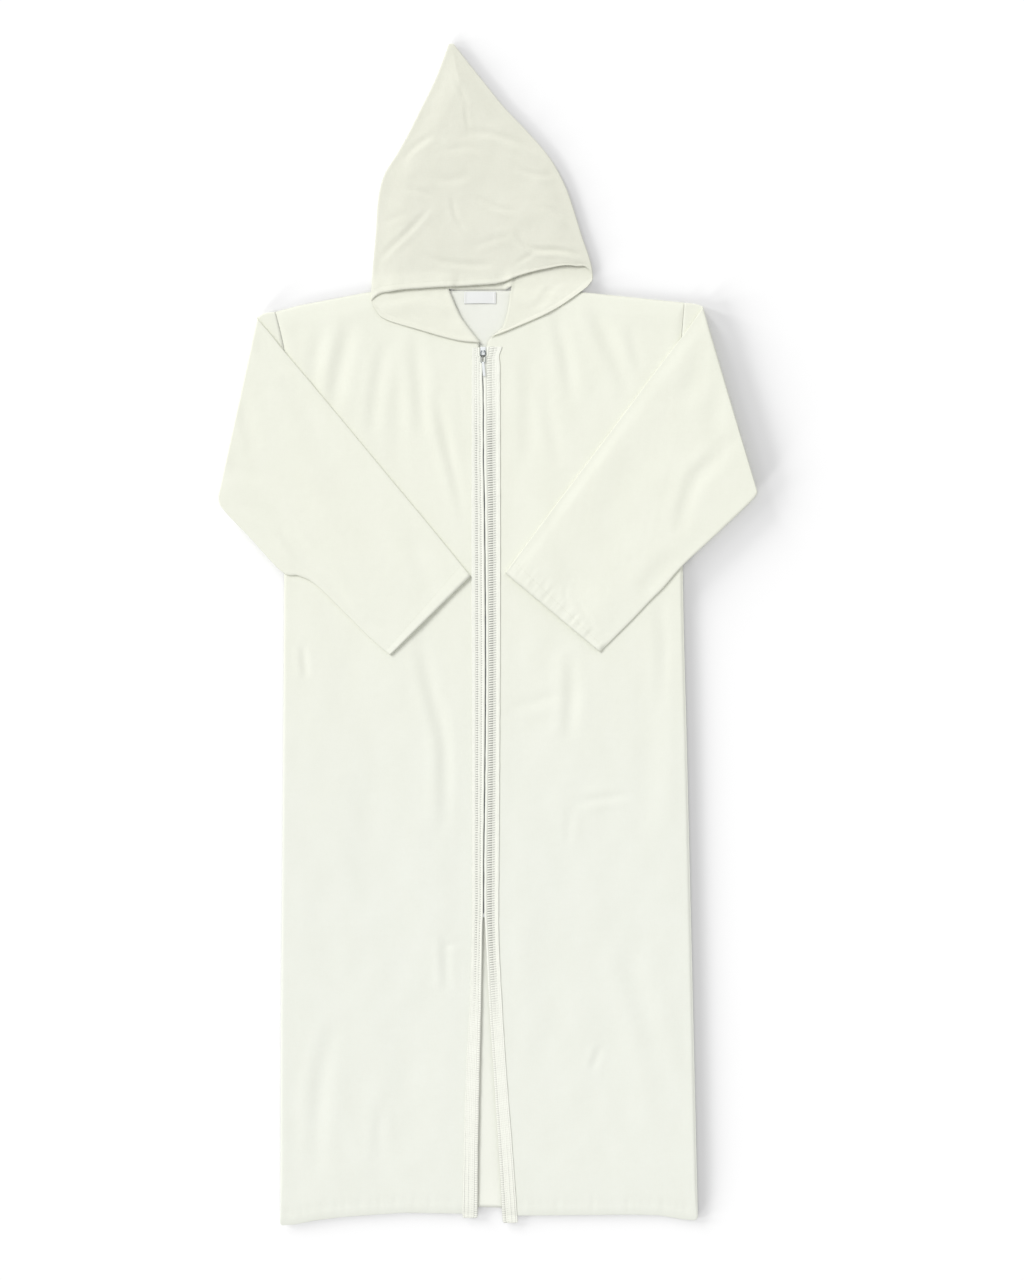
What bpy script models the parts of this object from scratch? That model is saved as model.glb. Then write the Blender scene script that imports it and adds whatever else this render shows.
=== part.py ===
"""Hooded zip-front robe (djellaba), laid flat on its back with both sleeves folded over.

Frame: the robe lies in the XY plane, +Z up from the surface it rests on. +Y runs from
the hem to the tip of the hood, +X is to the right of someone looking down at the front.
The origin is the centre of the bounding box's base. "Left" and "right" are the looker's.
Every size below is in millimetres; MM turns them into metres when a mesh is made.
"""
from math import asin, cos, exp, hypot, pi, radians, sin

import bmesh
import bpy
import numpy as np
from mathutils import Vector

MM = 0.001

# ---------------------------------------------------------------- driving dimensions
CLOTH = 1.2            # wall of one layer of cloth
GAP = 0.3              # air left between pieces that touch
LAYERED = 2 * CLOTH + GAP      # two layers lying on each other
FRONT_REST = CLOTH + GAP       # underside of the front where it lies hard on the back
FRONT_FREE = 4.0               # underside of the front where it stands off the back
OVER_FRONT = FRONT_FREE + CLOTH + GAP   # underside of whatever is folded over the front
BACK_SHORTER = 11.0            # the back's hem ends this far above the front's
BACK_INSET = 3.6               # the front rolls round the back's side edges by this much
BRAID_THICK = 1.8
FRONT_TUCK = 1.6               # how far a front's centre edge lies under its braid
TAPE_WIDE = 13.0
TAPE_THICK = 0.7
CHAIN_HALF = 2.2
CHAIN_THICK = 2.0
ZIP_TOP = 427.0
ZIP_END = -424.0
TAPE_PAST = 12.0               # the tapes run on past the end of the zip
CHAIN_SHORT = 3.0              # the chain ends this far below the tapes' top
STOP_LONG = 6.0
STOP_HALF = 2.0
LABEL_WIDE = 48.5
LABEL_TALL = 18.2
LABEL_THICK = 0.5
LABEL_DOWN = 2.4               # the label starts this far below the back's neck edge
SLOT_LIP = 0.8 * CLOTH         # wall left above and below a slot between two layers
SLOT_SHARE = 0.4               # and never more than this share of the whole

# Side edges of the body, hem to shoulder: the armhole starts at the underarm.
SIDES = (
    # y,      left x, right x
    (-900.0, -314.0, 319.5),
    (-555.0, -313.1, 313.1),
    (-190.0, -310.1, 304.5),
    (100.0, -308.6, 297.8),
    (240.0, -308.6, 297.5),
    (440.0, -309.5, 295.0),
    (500.0, -324.0, 299.5),
)
# Front hem: it dips at the side seams.
HEM = (
    # x,      y
    (-316.0, -896.0),
    (-219.0, -887.0),
    (-126.0, -879.5),
    (-39.0, -881.0),
    (52.0, -884.0),
    (222.0, -882.5),
    (320.0, -889.0),
)
# Shoulder seams and, between them, the front's neck edge down to the zip.
SHOULDER_AND_NECK = (
    # x,      y
    (-324.0, 490.2),
    (-284.0, 500.8),
    (-180.9, 520.6),
    (-58.5, 526.1),
    (-47.6, 499.3),
    (-38.0, 480.0),
    (-23.4, 460.6),
    (-6.0, 438.0),
    (-4.0, 438.0),
    (5.6, 451.0),
    (25.1, 468.0),
    (32.4, 497.0),
    (37.2, 530.0),
    (160.0, 519.1),
    (299.5, 504.8),
    (320.0, 504.0),
)
NECK_LEFT, NECK_RIGHT = -58.5, 37.2
BACK_NECK = 523.6
# Braid bands: they run side by side down the zip and part below its end.
BRAIDS = (
    # y,      left outer, left inner, right inner, right outer
    (-895.0, -37.5, -14.4, 23.9, 46.8),
    (-783.6, -35.0, -13.7, 17.8, 38.8),
    (-669.6, -31.9, -11.4, 10.2, 30.4),
    (-555.6, -25.8, -8.4, 3.0, 23.6),
    (-429.4, -22.6, -5.4, -2.6, 18.4),
    (50.0, -23.6, -4.1, -1.3, 21.2),
    (371.0, -23.4, -6.7, -4.0, 20.8),
    (405.0, -23.3, -8.4, -3.0, 20.6),
    (420.0, -23.1, -11.2, -0.8, 20.5),     # they part round the slider
    (438.0, -23.0, -11.3, -0.7, 20.5),
)
BRAID_ENDS = {"left": (-887.5, 437.0), "right": (-895.0, 438.0)}

# Each sleeve is a flat tube turned over at the elbow fold, so that its back lies up on
# the front. A row is one section across it, from its upper edge to its underarm edge.
SLEEVE_LEFT = (
    # upper x, y,      under x, y
    (-349.6, 481.1, -408.9, 212.0),    # elbow fold, the outermost line
    (-342.5, 472.6, -402.8, 192.3),
    (-323.8, 450.7, -360.2, 146.7),
    (-309.5, 432.4, -311.6, 95.0),     # over the body's side seam
    (-269.0, 384.4, -285.8, 88.9),
    (-215.8, 320.6, -259.9, 75.2),
    (-147.4, 237.9, -218.9, 35.7),
    (-86.6, 164.9, -177.8, -5.3),
    (-24.8, 88.9, -147.4, -31.2),      # cuff
)
SLEEVE_RIGHT = (
    # upper x, y,      under x, y
    (328.3, 497.8, 410.4, 219.6),
    (323.8, 490.6, 405.8, 207.0),
    (316.4, 480.4, 354.2, 157.3),
    (306.5, 465.9, 298.6, 105.6),
    (255.4, 399.0, 269.0, 72.2),
    (202.2, 327.6, 247.8, 50.9),
    (141.4, 246.2, 223.4, 25.1),
    (80.6, 164.9, 197.6, -0.8),
    (27.4, 93.5, 171.8, -26.6),
)
# The stub of each sleeve's front that shows between the armhole seam and the elbow fold.
STUB_LEFT = ((-347.4, 484.0), (-340.0, 488.0), (-332.0, 489.6), (-324.6, 490.2))
STUB_RIGHT = ((327.0, 499.6), (320.0, 502.0), (310.0, 503.8), (300.4, 504.4))

# The hood is a flat cone: a row is a section from its left fold to its right fold.
HOOD = (
    # left x, y,       right x, y
    (-59.3, 895.5, -47.1, 895.5),
    (-68.4, 870.2, -28.9, 870.2),
    (-80.6, 839.8, -4.6, 839.8),
    (-101.8, 797.2, 27.4, 800.3),
    (-120.1, 760.8, 62.3, 763.8),
    (-135.3, 733.4, 95.8, 724.3),
    (-156.6, 698.4, 118.6, 683.2),
    (-165.7, 660.4, 132.2, 645.2),
    (-168.7, 614.9, 144.4, 605.7),
    (-173.3, 561.6, 155.0, 575.3),
    (-175.6, 530.0, 159.6, 557.1),
    (-176.3, 506.9, 161.1, 543.4),     # corners of the face opening
)
# Edges of the face opening, left to right.
UPPER_RIM = (
    # x,      y
    (-176.3, 506.9),
    (-168.7, 514.5),
    (-144.4, 521.2),
    (-95.8, 526.1),
    (-23.4, 530.5),
    (25.1, 535.8),
    (49.2, 545.4),
    (85.7, 555.1),
    (134.1, 560.0),
    (157.2, 551.5),
    (161.1, 543.4),
)
LOWER_RIM_LEFT = (
    (-172.5, 498.0),
    (-156.6, 480.0),
    (-108.2, 464.2),
    (-47.6, 447.3),
    (-9.5, 443.0),
)
LOWER_RIM_RIGHT = (
    (5.6, 452.0),
    (37.2, 464.0),
    (97.7, 491.0),
    (146.2, 523.6),
    (159.4, 537.0),
)
NECK_SEAM_LEFT = ((-58.5, 526.1), (-47.6, 499.3), (-38.0, 480.0), (-23.4, 460.6), (-9.5, 443.0))
NECK_SEAM_RIGHT = ((37.2, 530.0), (32.4, 497.0), (25.1, 468.0), (5.6, 452.0))

# Soft troughs of the largest folds: a line, half its width, and its depth.
FRONT_FOLDS = (
    # x0,    y0,     x1,     y1,    half, depth
    (-206.0, 474.0, -231.0, 344.0, 17.0, 2.3),
    (-153.0, 445.0, -173.0, 308.0, 15.0, 1.7),
    (-111.0, 457.0, -99.0, 308.0, 15.0, 2.1),
    (-79.0, 364.0, -45.0, 235.0, 15.0, 2.2),
    (103.0, 493.0, 131.0, 364.0, 15.0, 2.0),
    (153.0, 511.0, 216.0, 376.0, 17.0, 2.2),
    (-102.0, -14.0, -64.0, -163.0, 15.0, 2.0),
    (-64.0, -163.0, -64.0, -288.0, 14.0, 1.4),
    (-231.0, -592.0, -257.0, -803.0, 16.0, 1.7),
    (128.0, -34.0, 125.0, -157.0, 15.0, 1.8),
    (128.0, -258.0, 216.0, -244.0, 14.0, 1.3),
    (208.0, -473.0, 264.0, -697.0, 15.0, 1.2),
)
SLEEVE_FOLDS = (
    # x0,    y0,     x1,     y1,    half, depth
    (-362.0, 195.0, -281.0, 121.0, 15.0, 2.0),
    (-281.0, 121.0, -207.0, 28.0, 14.0, 2.0),
    (351.0, 270.0, 309.0, 215.0, 15.0, 1.6),
    (309.0, 215.0, 296.0, 159.0, 14.0, 1.6),
)
HOOD_FOLDS = (
    # x0,    y0,     x1,     y1,    half, depth
    (44.0, 612.0, 69.0, 584.0, 15.0, 1.3),
    (69.0, 584.0, 152.0, 574.0, 15.0, 1.5),
    (-168.0, 566.0, -88.0, 647.0, 16.0, 1.4),
    (-129.0, 724.0, -80.0, 759.0, 14.0, 1.2),
    (-33.0, 759.0, 76.0, 733.0, 16.0, 1.0),
)

# Zip slider and its two-piece pull. The link hangs on the slider's bail, the tab on it.
SLIDER_X = -6.0
SLIDER_WIDE = 8.2
PLATE_LOW = (1.6, 2.3)         # heights of the slider's bottom plate
PLATE_TOP = (5.3, 7.6)
PLATE_REACH = (-6.4, 6.1)      # ends of both plates from the link's hinge
PLATE_BEVEL = 0.8
DIAMOND_HALF = 1.1             # the post between the plates
DIAMOND_REACH = (2.5, 5.2)     # its ends from the link's hinge
DIAMOND_Z = (2.0, 6.8)         # it is sunk into both plates
PULL_Z = 8.9                   # height of both pull hinges
BAIL_Y = 431.0                 # the link's hinge, under the bail
BAIL_WIDE = 1.8
BAIL_BAR = 0.9
BAIL_CLEAR = 1.1               # from the hinge axis to the inside of the bail
BAIL_SUNK = 0.5                # depth of the bail's feet in the top plate
LINK_LONG = 18.0               # from the link's hinge to the tab's
LINK_WIDE = 7.4
LINK_BAR = 0.5                 # half the link's round bar
LINK_CORNER = 1.2              # radius of its four corners
TAB_LONG = 20.5
TAB_WIDE = 3.8
TAB_THICK = 1.2
TAB_SLANT = radians(5.0)       # the tab hangs a little askew in its eye
EYE_IN = 0.9
EYE_OUT = 1.3


# ---------------------------------------------------------------- small helpers
def clear_scene():
    for old in list(bpy.data.objects):
        bpy.data.objects.remove(old, do_unlink=True)


def material(name, colour, roughness, metallic=0.0):
    made = bpy.data.materials.new(name)
    made.use_nodes = True
    shader = made.node_tree.nodes["Principled BSDF"]
    shader.inputs["Base Color"].default_value = (*colour, 1.0)
    shader.inputs["Roughness"].default_value = roughness
    shader.inputs["Metallic"].default_value = metallic
    return made


def read(table, at, column):
    """Straight-line reading of a table whose first column rises."""
    return float(np.interp(at, [row[0] for row in table], [row[column] for row in table]))


def along(points, share):
    """The point at a share, 0 to 1, of the way along a run of straight pieces."""
    steps = [hypot(b[0] - a[0], b[1] - a[1]) for a, b in zip(points, points[1:])]
    run = np.concatenate([[0.0], np.cumsum(steps)])
    goal = share * run[-1]
    return (float(np.interp(goal, run, [p[0] for p in points])),
            float(np.interp(goal, run, [p[1] for p in points])))


def between(a, b, share):
    return (a[0] + (b[0] - a[0]) * share, a[1] + (b[1] - a[1]) * share)


def trough(folds, x, y):
    """Depth of the deepest fold at a point: round across, fading out past its ends."""
    deepest = 0.0
    for x0, y0, x1, y1, half, depth in folds:
        dx, dy = x1 - x0, y1 - y0
        share = min(1.0, max(0.0, ((x - x0) * dx + (y - y0) * dy) / (dx * dx + dy * dy)))
        away = hypot(x - x0 - dx * share, y - y0 - dy * share)
        deepest = max(deepest, depth * exp(-((away / half) ** 2)))
    return deepest


def finish_mesh(name, mesh, finish):
    made = bpy.data.objects.new(name, mesh)
    bpy.context.scene.collection.objects.link(made)
    made.data.materials.append(finish)
    return made


def wall(name, cells, outer, inner, finish, groove=None):
    """Closed wall of cloth: cells of keys, run anticlockwise seen from the outer side,
    and for each key an outer and an inner point. Open edges are closed by a side. A
    groove gives, for a key, how far the slot between two layers goes in at that edge."""
    built = bmesh.new()
    keys = sorted({key for cell in cells for key in cell})
    out = {key: built.verts.new(Vector(outer[key]) * MM) for key in keys}
    low = {key: built.verts.new(Vector(inner[key]) * MM) for key in keys}
    runs = {(a, b) for cell in cells for a, b in zip(cell, cell[1:] + cell[:1])}
    slots = {}

    def slot(key):
        if key not in slots:
            top, base = Vector(outer[key]), Vector(inner[key])
            deep = (top - base).length
            lip = (top - base).normalized() * min(SLOT_LIP, deep * SLOT_SHARE)
            heart = (top + base) / 2 + Vector((*groove(key), 0.0))
            slots[key] = [built.verts.new(p * MM) for p in (top - lip, heart, base + lip)]
        return slots[key]

    for cell in cells:
        built.faces.new([out[key] for key in cell])
        built.faces.new([low[key] for key in reversed(cell)])
    for a, b in sorted(runs):
        if (b, a) in runs:
            continue
        left, right = [out[a], low[a]], [out[b], low[b]]
        if groove:
            left[1:1] = slot(a)
            right[1:1] = slot(b)
        for k in range(len(left) - 1):
            built.faces.new([left[k], left[k + 1], right[k + 1], right[k]])
    bmesh.ops.recalc_face_normals(built, faces=built.faces)
    mesh = bpy.data.meshes.new(name)
    built.to_mesh(mesh)
    built.free()
    return finish_mesh(name, mesh, finish)


def grid_cells(rows, columns):
    """Cells of a grid whose rows run up (+Y) and whose columns run right (+X)."""
    return [((i, j), (i, j + 1), (i + 1, j + 1), (i + 1, j))
            for i in range(rows - 1) for j in range(columns - 1)]


# ---------------------------------------------------------------- the cut and lie of the cloth
def side_x(side, y):
    return read(SIDES, y, 1 if side == "left" else 2)


def centre_edge(side, y):
    """A front's edge under its braid."""
    if side == "left":
        return read(BRAIDS, y, 2) - FRONT_TUCK
    return read(BRAIDS, y, 3) + FRONT_TUCK


SIDE_LIFT = ((0.0, 0.0), (3.2, 1.8), (9.0, 3.4), (18.0, FRONT_FREE))
HEM_LIFT = ((0.0, 0.0), (5.0, 0.0), (10.5, 1.6), (30.0, 3.0), (70.0, FRONT_FREE))
TOP_LIFT = ((0.0, FRONT_REST), (8.0, 2.4), (25.0, FRONT_FREE))
STIFF_EDGE = 42.0              # the braid keeps folds this far from the centre edge
STIFF_FADE = 20.0              # and they come in over this length
NEAR_SHOULDER = 470.0          # y at which the shoulder is read before y is known
SETTLE = 3                     # rounds that bring x and y of a point to agree


def front_under(x, y, from_side, from_hem, from_top, from_centre):
    """Height of a front's underside, from its distances to its own edges. It comes down
    to the back at the shoulder seam, and not at the neck's open edge."""
    lift = min(read(SIDE_LIFT, from_side, 1), read(HEM_LIFT, from_hem, 1))
    if not NECK_LEFT < x < NECK_RIGHT:
        lift = min(lift, read(TOP_LIFT, from_top, 1))
    inland = min(1.0, max(0.0, (from_centre - STIFF_EDGE) / STIFF_FADE))
    if lift <= FRONT_REST:
        return lift
    return max(FRONT_REST, lift - inland * trough(FRONT_FOLDS, x, y))


def make_front(side, finish):
    """One front: rows follow the hem at the bottom and shoulder and neck at the top."""
    sign = 1 if side == "left" else -1
    near_side = (0.0, 3.2, 9.0, 18.0)
    across = 11
    up_from_hem = (0.0, 5.0, 10.5, 30.0, 70.0)
    down_from_top = (25.0, 8.0, 0.0)
    rows_between = 26
    outer, inner = {}, {}
    columns = len(near_side) + across
    rows = len(up_from_hem) + rows_between + len(down_from_top)

    def place(i, j):
        inland = 0.0 if j < len(near_side) else (j - len(near_side) + 1) / across

        def x_at(y):
            edge, middle = side_x(side, y), centre_edge(side, y)
            first = edge + sign * near_side[min(j, len(near_side) - 1)]
            return first + (middle - first) * inland

        x = x_at(0.0)
        for _ in range(SETTLE):
            hem = read(HEM, x, 1)
            top = read(SHOULDER_AND_NECK, x_at(NEAR_SHOULDER), 1)
            if i < len(up_from_hem):
                y = hem + up_from_hem[i]
            elif i < len(up_from_hem) + rows_between:
                share = (i - len(up_from_hem) + 1) / (rows_between + 1)
                low, high = hem + up_from_hem[-1], top - down_from_top[0]
                y = low + (high - low) * share
            else:
                y = top - down_from_top[i - len(up_from_hem) - rows_between]
            x = x_at(y)
        return x, y, y - hem, top - y

    for i in range(rows):
        for j in range(columns):
            x, y, from_hem, from_top = place(i, j)
            under = front_under(x, y, abs(x - side_x(side, y)), from_hem, from_top,
                                abs(x - centre_edge(side, y)))
            column = j if side == "left" else columns - 1 - j
            inner[i, column] = (x, y, under)
            outer[i, column] = (x, y, under + CLOTH)
    return wall("front_" + side, grid_cells(rows, columns), outer, inner, finish)


def make_back(finish):
    """The back lies flat under everything, a little smaller than the fronts all round."""
    outer, inner = {}, {}
    up = (-860.0, -555.0, -190.0, 100.0, 240.0, 380.0, 440.0)
    shares = (0.0, 0.165, 0.31, 0.431, 0.505, 0.576, 0.72, 0.86, 1.0)

    def shoulder(x):
        return BACK_NECK if NECK_LEFT < x < NECK_RIGHT else read(SHOULDER_AND_NECK, x, 1)

    for j, share in enumerate(shares):
        for i in range(len(up) + 2):
            y = up[min(max(i - 1, 0), len(up) - 1)]
            for _ in range(SETTLE):
                left = side_x("left", y) + BACK_INSET
                right = side_x("right", y) - BACK_INSET
                x = left + (right - left) * share
                if i == 0:
                    y = read(HEM, x, 1) + BACK_SHORTER
                elif i > len(up):
                    y = shoulder(x) - GAP
            inner[i, j] = (x, y, 0.0)
            outer[i, j] = (x, y, CLOTH)
    return wall("back", grid_cells(len(up) + 2, len(shares)), outer, inner, finish)


# ---------------------------------------------------------------- sleeves
SLEEVE_PUFF = 2.6              # the folded tube's rise above its two bare layers
ELBOW_ROUND = ((0.0, 2.4, 6.0), (2.5, 0.4, 8.4), (6.0, 0.0, 9.6))  # inset, base, top
ELBOW_FLAT = 6.0               # past this inset the elbow's turn lies flat
CLIMB_LOW, CLIMB_HIGH = -2.0, -1.6     # it climbs on to the front just outside the seam
EDGE_SLOPE, EDGE_LEAST = 4.0, 0.15     # how the puff falls to the tube's two edges
CUFF_SLOPE, CUFF_LEAST = 0.35, 0.1     # and to its cuff, per section
STUB_STEP = (-0.2625, 0.2275)          # the stub starts this far off the folded edge
CUFF_SLOT = (-6.93, 5.76)              # how far the slot between the layers goes in
SEAM_COLUMN = 5                # the section that lies outside the side seam


def make_sleeve(side, sections, stub, finish):
    """One rounded solid for the folded tube: on the surface outside the body, over the
    front inside it, with a slot between its two layers at the cuff."""
    sign = 1 if side == "left" else -1
    lines = [((row[0], row[1]), (row[2], row[3])) for row in sections]
    rises = (0.0, 0.05, 0.17, 0.34, 0.5, 0.66, 0.83, 0.95, 1.0)
    elbow, inner_lines = lines[0], lines[1:]
    outer, inner = {}, {}
    columns = []
    for inset, base, top in ELBOW_ROUND:
        columns.append(("elbow", elbow, inset, base, top))
    columns.append(("outside", inner_lines[0], ELBOW_FLAT, 0.0, None))
    columns.append(("outside", inner_lines[1], 0.0, 0.0, None))
    columns.append(("seam", inner_lines[2], CLIMB_LOW, 0.0, None))
    columns.append(("seam", inner_lines[2], CLIMB_HIGH, OVER_FRONT, None))
    for line in inner_lines[3:]:
        columns.append(("over", line, 0.0, OVER_FRONT, None))
    last = len(columns) - 1
    for j, (kind, line, inset, base, top) in enumerate(columns):
        for i, rise in enumerate(rises):
            x, y = between(line[1], line[0], rise)
            if kind == "seam":
                x = side_x(side, y) + sign * inset
            else:
                x += sign * inset
            edge = min(1.0, EDGE_SLOPE * min(rise, 1.0 - rise) + EDGE_LEAST)
            to_cuff = min(1.0, CUFF_SLOPE * (last - j) + CUFF_LEAST)
            crown = OVER_FRONT + LAYERED + SLEEVE_PUFF * edge * to_cuff
            crown -= trough(SLEEVE_FOLDS, x, y) * edge
            crown = min(crown, top) if top else crown
            column = j if side == "left" else last - j
            outer[i, column] = (x, y, crown)
            inner[i, column] = (x, y, base)
    cells = grid_cells(len(rises), len(columns))
    # The stub of the sleeve's front, low on the surface, above the folded edge.
    top_row = len(rises) - 1
    step_x, step_y = STUB_STEP[0] * sign, STUB_STEP[1]
    for j in range(SEAM_COLUMN + 1):
        column = j if side == "left" else last - j
        x, y, _ = outer[top_row, column]
        edge_x, edge_y = along(stub, j / SEAM_COLUMN)
        outer[top_row + 1, column] = (x + step_x, y + step_y, LAYERED)
        inner[top_row + 1, column] = (x + step_x, y + step_y, 0.0)
        outer[top_row + 2, column] = (edge_x, edge_y, LAYERED)
        inner[top_row + 2, column] = (edge_x, edge_y, 0.0)
    low_side = 0 if side == "left" else last - SEAM_COLUMN
    for i in (top_row, top_row + 1):
        for j in range(low_side, low_side + SEAM_COLUMN):
            cells.append(((i, j), (i, j + 1), (i + 1, j + 1), (i + 1, j)))
    cuff_column = last if side == "left" else 0

    def groove(key):
        at_cuff = key[1] == cuff_column and 0 < key[0] < top_row
        return (CUFF_SLOT[0] * sign, CUFF_SLOT[1]) if at_cuff else (0.0, 0.0)

    return wall("sleeve_" + side, cells, outer, inner, finish, groove)


# ---------------------------------------------------------------- hood
HOOD_INSIDE = 2.2              # air between the hood's two layers, away from its folds
FOLD_ROUND = 3.8               # how far in from a fold the two layers part
HOOD_CLIMB = 30.0              # the under layer climbs over the shoulder in this length
SHOULDER_LIFT = OVER_FRONT + 0.1
NECK_TOP, NECK_SLOPE = 526.0, 0.04     # the front's neck edge: its left end and its rise
NECK_CORNER = 14.0             # the hood settles into the neck within this of a corner
NECK_BRIDGE, BRIDGE_MOST = 2.6, 3.3    # how far the upper layer stands over the neck gap
INSIDE_RUN = 26.0              # the two layers part fully this far in from a fold
FOLD_SHARE = 0.9               # the fold takes at most this much of the first column
NARROW_ROWS = 3                # sections near the tip whose columns are squeezed to fit
SEAM_TURN = 9.0                # the neck seam turns its top corners in this width
SEAM_RIGHT_TOP = 532.0


def hood_under(x, y):
    """Underside of the hood's under layer: the surface, or over the fronts."""
    shoulder = read(SHOULDER_AND_NECK, x, 1)
    if NECK_LEFT <= x <= NECK_RIGHT:
        shoulder = NECK_TOP + (x - NECK_LEFT) * NECK_SLOPE
    climb = min(1.0, max(0.0, (shoulder + HOOD_CLIMB - y) / (HOOD_CLIMB - 1.0)))
    into_neck = min(x - NECK_LEFT, NECK_RIGHT - x)
    if into_neck > 0.0 and y > BACK_NECK - 1.0:
        climb *= max(0.0, 1.0 - into_neck / NECK_CORNER)
    return SHOULDER_LIFT * climb


def hood_over(x, y, from_fold):
    """Underside of the hood's upper layer, above the under layer and the neck gap."""
    low = hood_under(x, y)
    into_neck = max(0.0, min(x - NECK_LEFT, NECK_RIGHT - x))
    bridge = 0.0
    if y < BACK_NECK + HOOD_CLIMB:
        down = 1.0 - (y - BACK_NECK) / HOOD_CLIMB
        bridge = min(1.0, into_neck / NECK_CORNER) * down * NECK_BRIDGE
    inside = GAP + (HOOD_INSIDE - GAP) * min(1.0, from_fold / INSIDE_RUN)
    inside = max(GAP, inside - trough(HOOD_FOLDS, x, y))
    return low + CLOTH + max(inside, min(bridge + GAP, BRIDGE_MOST))


def make_hood(finish):
    """Under layer, upper layer and the rounded folds between them, with the lapels that
    carry the under layer down over the fronts to the edges of the face opening."""
    across = 14
    rows = len(HOOD)
    fold = rows
    outer, inner, cells = {}, {}, []

    def row_point(i, share, last_row):
        left, right = HOOD[i][:2], HOOD[i][2:]
        x, y = between(left, right, share)
        bend = max(0.0, (i - (rows - 5)) / 4.0) ** 2
        straight = between(HOOD[-1][:2], HOOD[-1][2:], share)
        return x, y + bend * (read(last_row, straight[0], 1) - straight[1])

    under_row = (HOOD[-1][:2], NECK_SEAM_LEFT[0], (NECK_LEFT + SEAM_TURN, BACK_NECK + GAP),
                 (NECK_RIGHT - SEAM_TURN, BACK_NECK + GAP), (NECK_RIGHT, SEAM_RIGHT_TOP),
                 HOOD[-1][2:])
    shares = [k / across for k in range(across + 1)]
    # The columns that meet the neck seam's two top corners.
    span = HOOD[-1][2] - HOOD[-1][0]
    seam_left = round((NECK_LEFT - HOOD[-1][0]) / span * across)
    seam_right = round((NECK_RIGHT - HOOD[-1][0]) / span * across)
    shares[seam_left] = (NECK_LEFT - HOOD[-1][0]) / span
    shares[seam_right] = (NECK_RIGHT - HOOD[-1][0]) / span
    for i in range(rows):
        left, right = HOOD[i][:2], HOOD[i][2:]
        width = hypot(right[0] - left[0], right[1] - left[1])
        inset = min(FOLD_ROUND / width, FOLD_SHARE / across)
        tip = CLOTH if i == 0 else 0.0
        for j, share in enumerate(shares):
            if i < NARROW_ROWS:
                share = inset + (1.0 - 2.0 * inset) * share
            share = min(1.0 - inset, max(inset, share))
            x, y = row_point(i, share, UPPER_RIM)
            from_fold = min(share, 1.0 - share) * width
            base = hood_over(x, y, from_fold)
            outer["over", i, j] = (x, y, base + CLOTH)
            inner["over", i, j] = (x, y - tip, base)
            x, y = row_point(i, share, under_row)
            low = hood_under(x, y)
            outer["under", i, j] = (x, y, low)
            inner["under", i, j] = (x, y - tip, low + CLOTH)
        for name, j, (x, y), outward in (("left", 0, left, -1), ("right", across, right, 1)):
            over, under = outer["over", i, j], outer["under", i, j]
            middle = (over[2] + under[2]) / 2
            outer["fold_" + name, i, fold] = (x, y, middle)
            inner["fold_" + name, i, fold] = (x - outward * CLOTH, y - tip, middle)
    for i in range(rows - 1):
        below = i + 1
        for j in range(across):
            cells.append((("over", below, j), ("over", below, j + 1),
                          ("over", i, j + 1), ("over", i, j)))
            cells.append((("under", i, j), ("under", i, j + 1),
                          ("under", below, j + 1), ("under", below, j)))
        left_over, left_under = ("over", i, 0), ("under", i, 0)
        cells.append((("fold_left", below, fold), ("over", below, 0), left_over,
                      ("fold_left", i, fold)))
        cells.append((("under", below, 0), ("fold_left", below, fold),
                      ("fold_left", i, fold), left_under))
        cells.append((("over", below, across), ("fold_right", below, fold),
                      ("fold_right", i, fold), ("over", i, across)))
        cells.append((("fold_right", below, fold), ("under", below, across),
                      ("under", i, across), ("fold_right", i, fold)))
    for j in range(across):
        cells.append((("over", 0, j), ("over", 0, j + 1),
                      ("under", 0, j + 1), ("under", 0, j)))
    cells.append((("fold_left", 0, fold), ("over", 0, 0), ("under", 0, 0)))
    cells.append((("over", 0, across), ("fold_right", 0, fold), ("under", 0, across)))
    # Lapels: fans of columns from the under layer's last row down to the lower rims.
    down = 4
    for name, rim, seam, columns in (
            ("left", LOWER_RIM_LEFT, NECK_SEAM_LEFT, range(0, seam_left + 1)),
            ("right", LOWER_RIM_RIGHT, NECK_SEAM_RIGHT, range(seam_right, across + 1))):
        columns = list(columns)
        for j in columns:
            share = (j - columns[0]) / (len(columns) - 1)
            start = outer["under", rows - 1, j][:2]
            seam_column = j == (columns[-1] if name == "left" else columns[0])
            for k in range(1, down + 1):
                x, y = between(start, along(rim, share), k / down)
                if seam_column:
                    x, y = along(seam, k / down)
                outer["under", rows - 1 + k, j] = (x, y, SHOULDER_LIFT if name == "left"
                                                   else hood_under(x, y))
                low = outer["under", rows - 1 + k, j][2]
                inner["under", rows - 1 + k, j] = (x, y, low + CLOTH)
        for k in range(down):
            i, below = rows - 1 + k, rows + k
            for j in columns[:-1]:
                cells.append((("under", i, j), ("under", i, j + 1),
                              ("under", below, j + 1), ("under", below, j)))
    return wall("hood", cells, outer, inner, finish)


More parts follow.
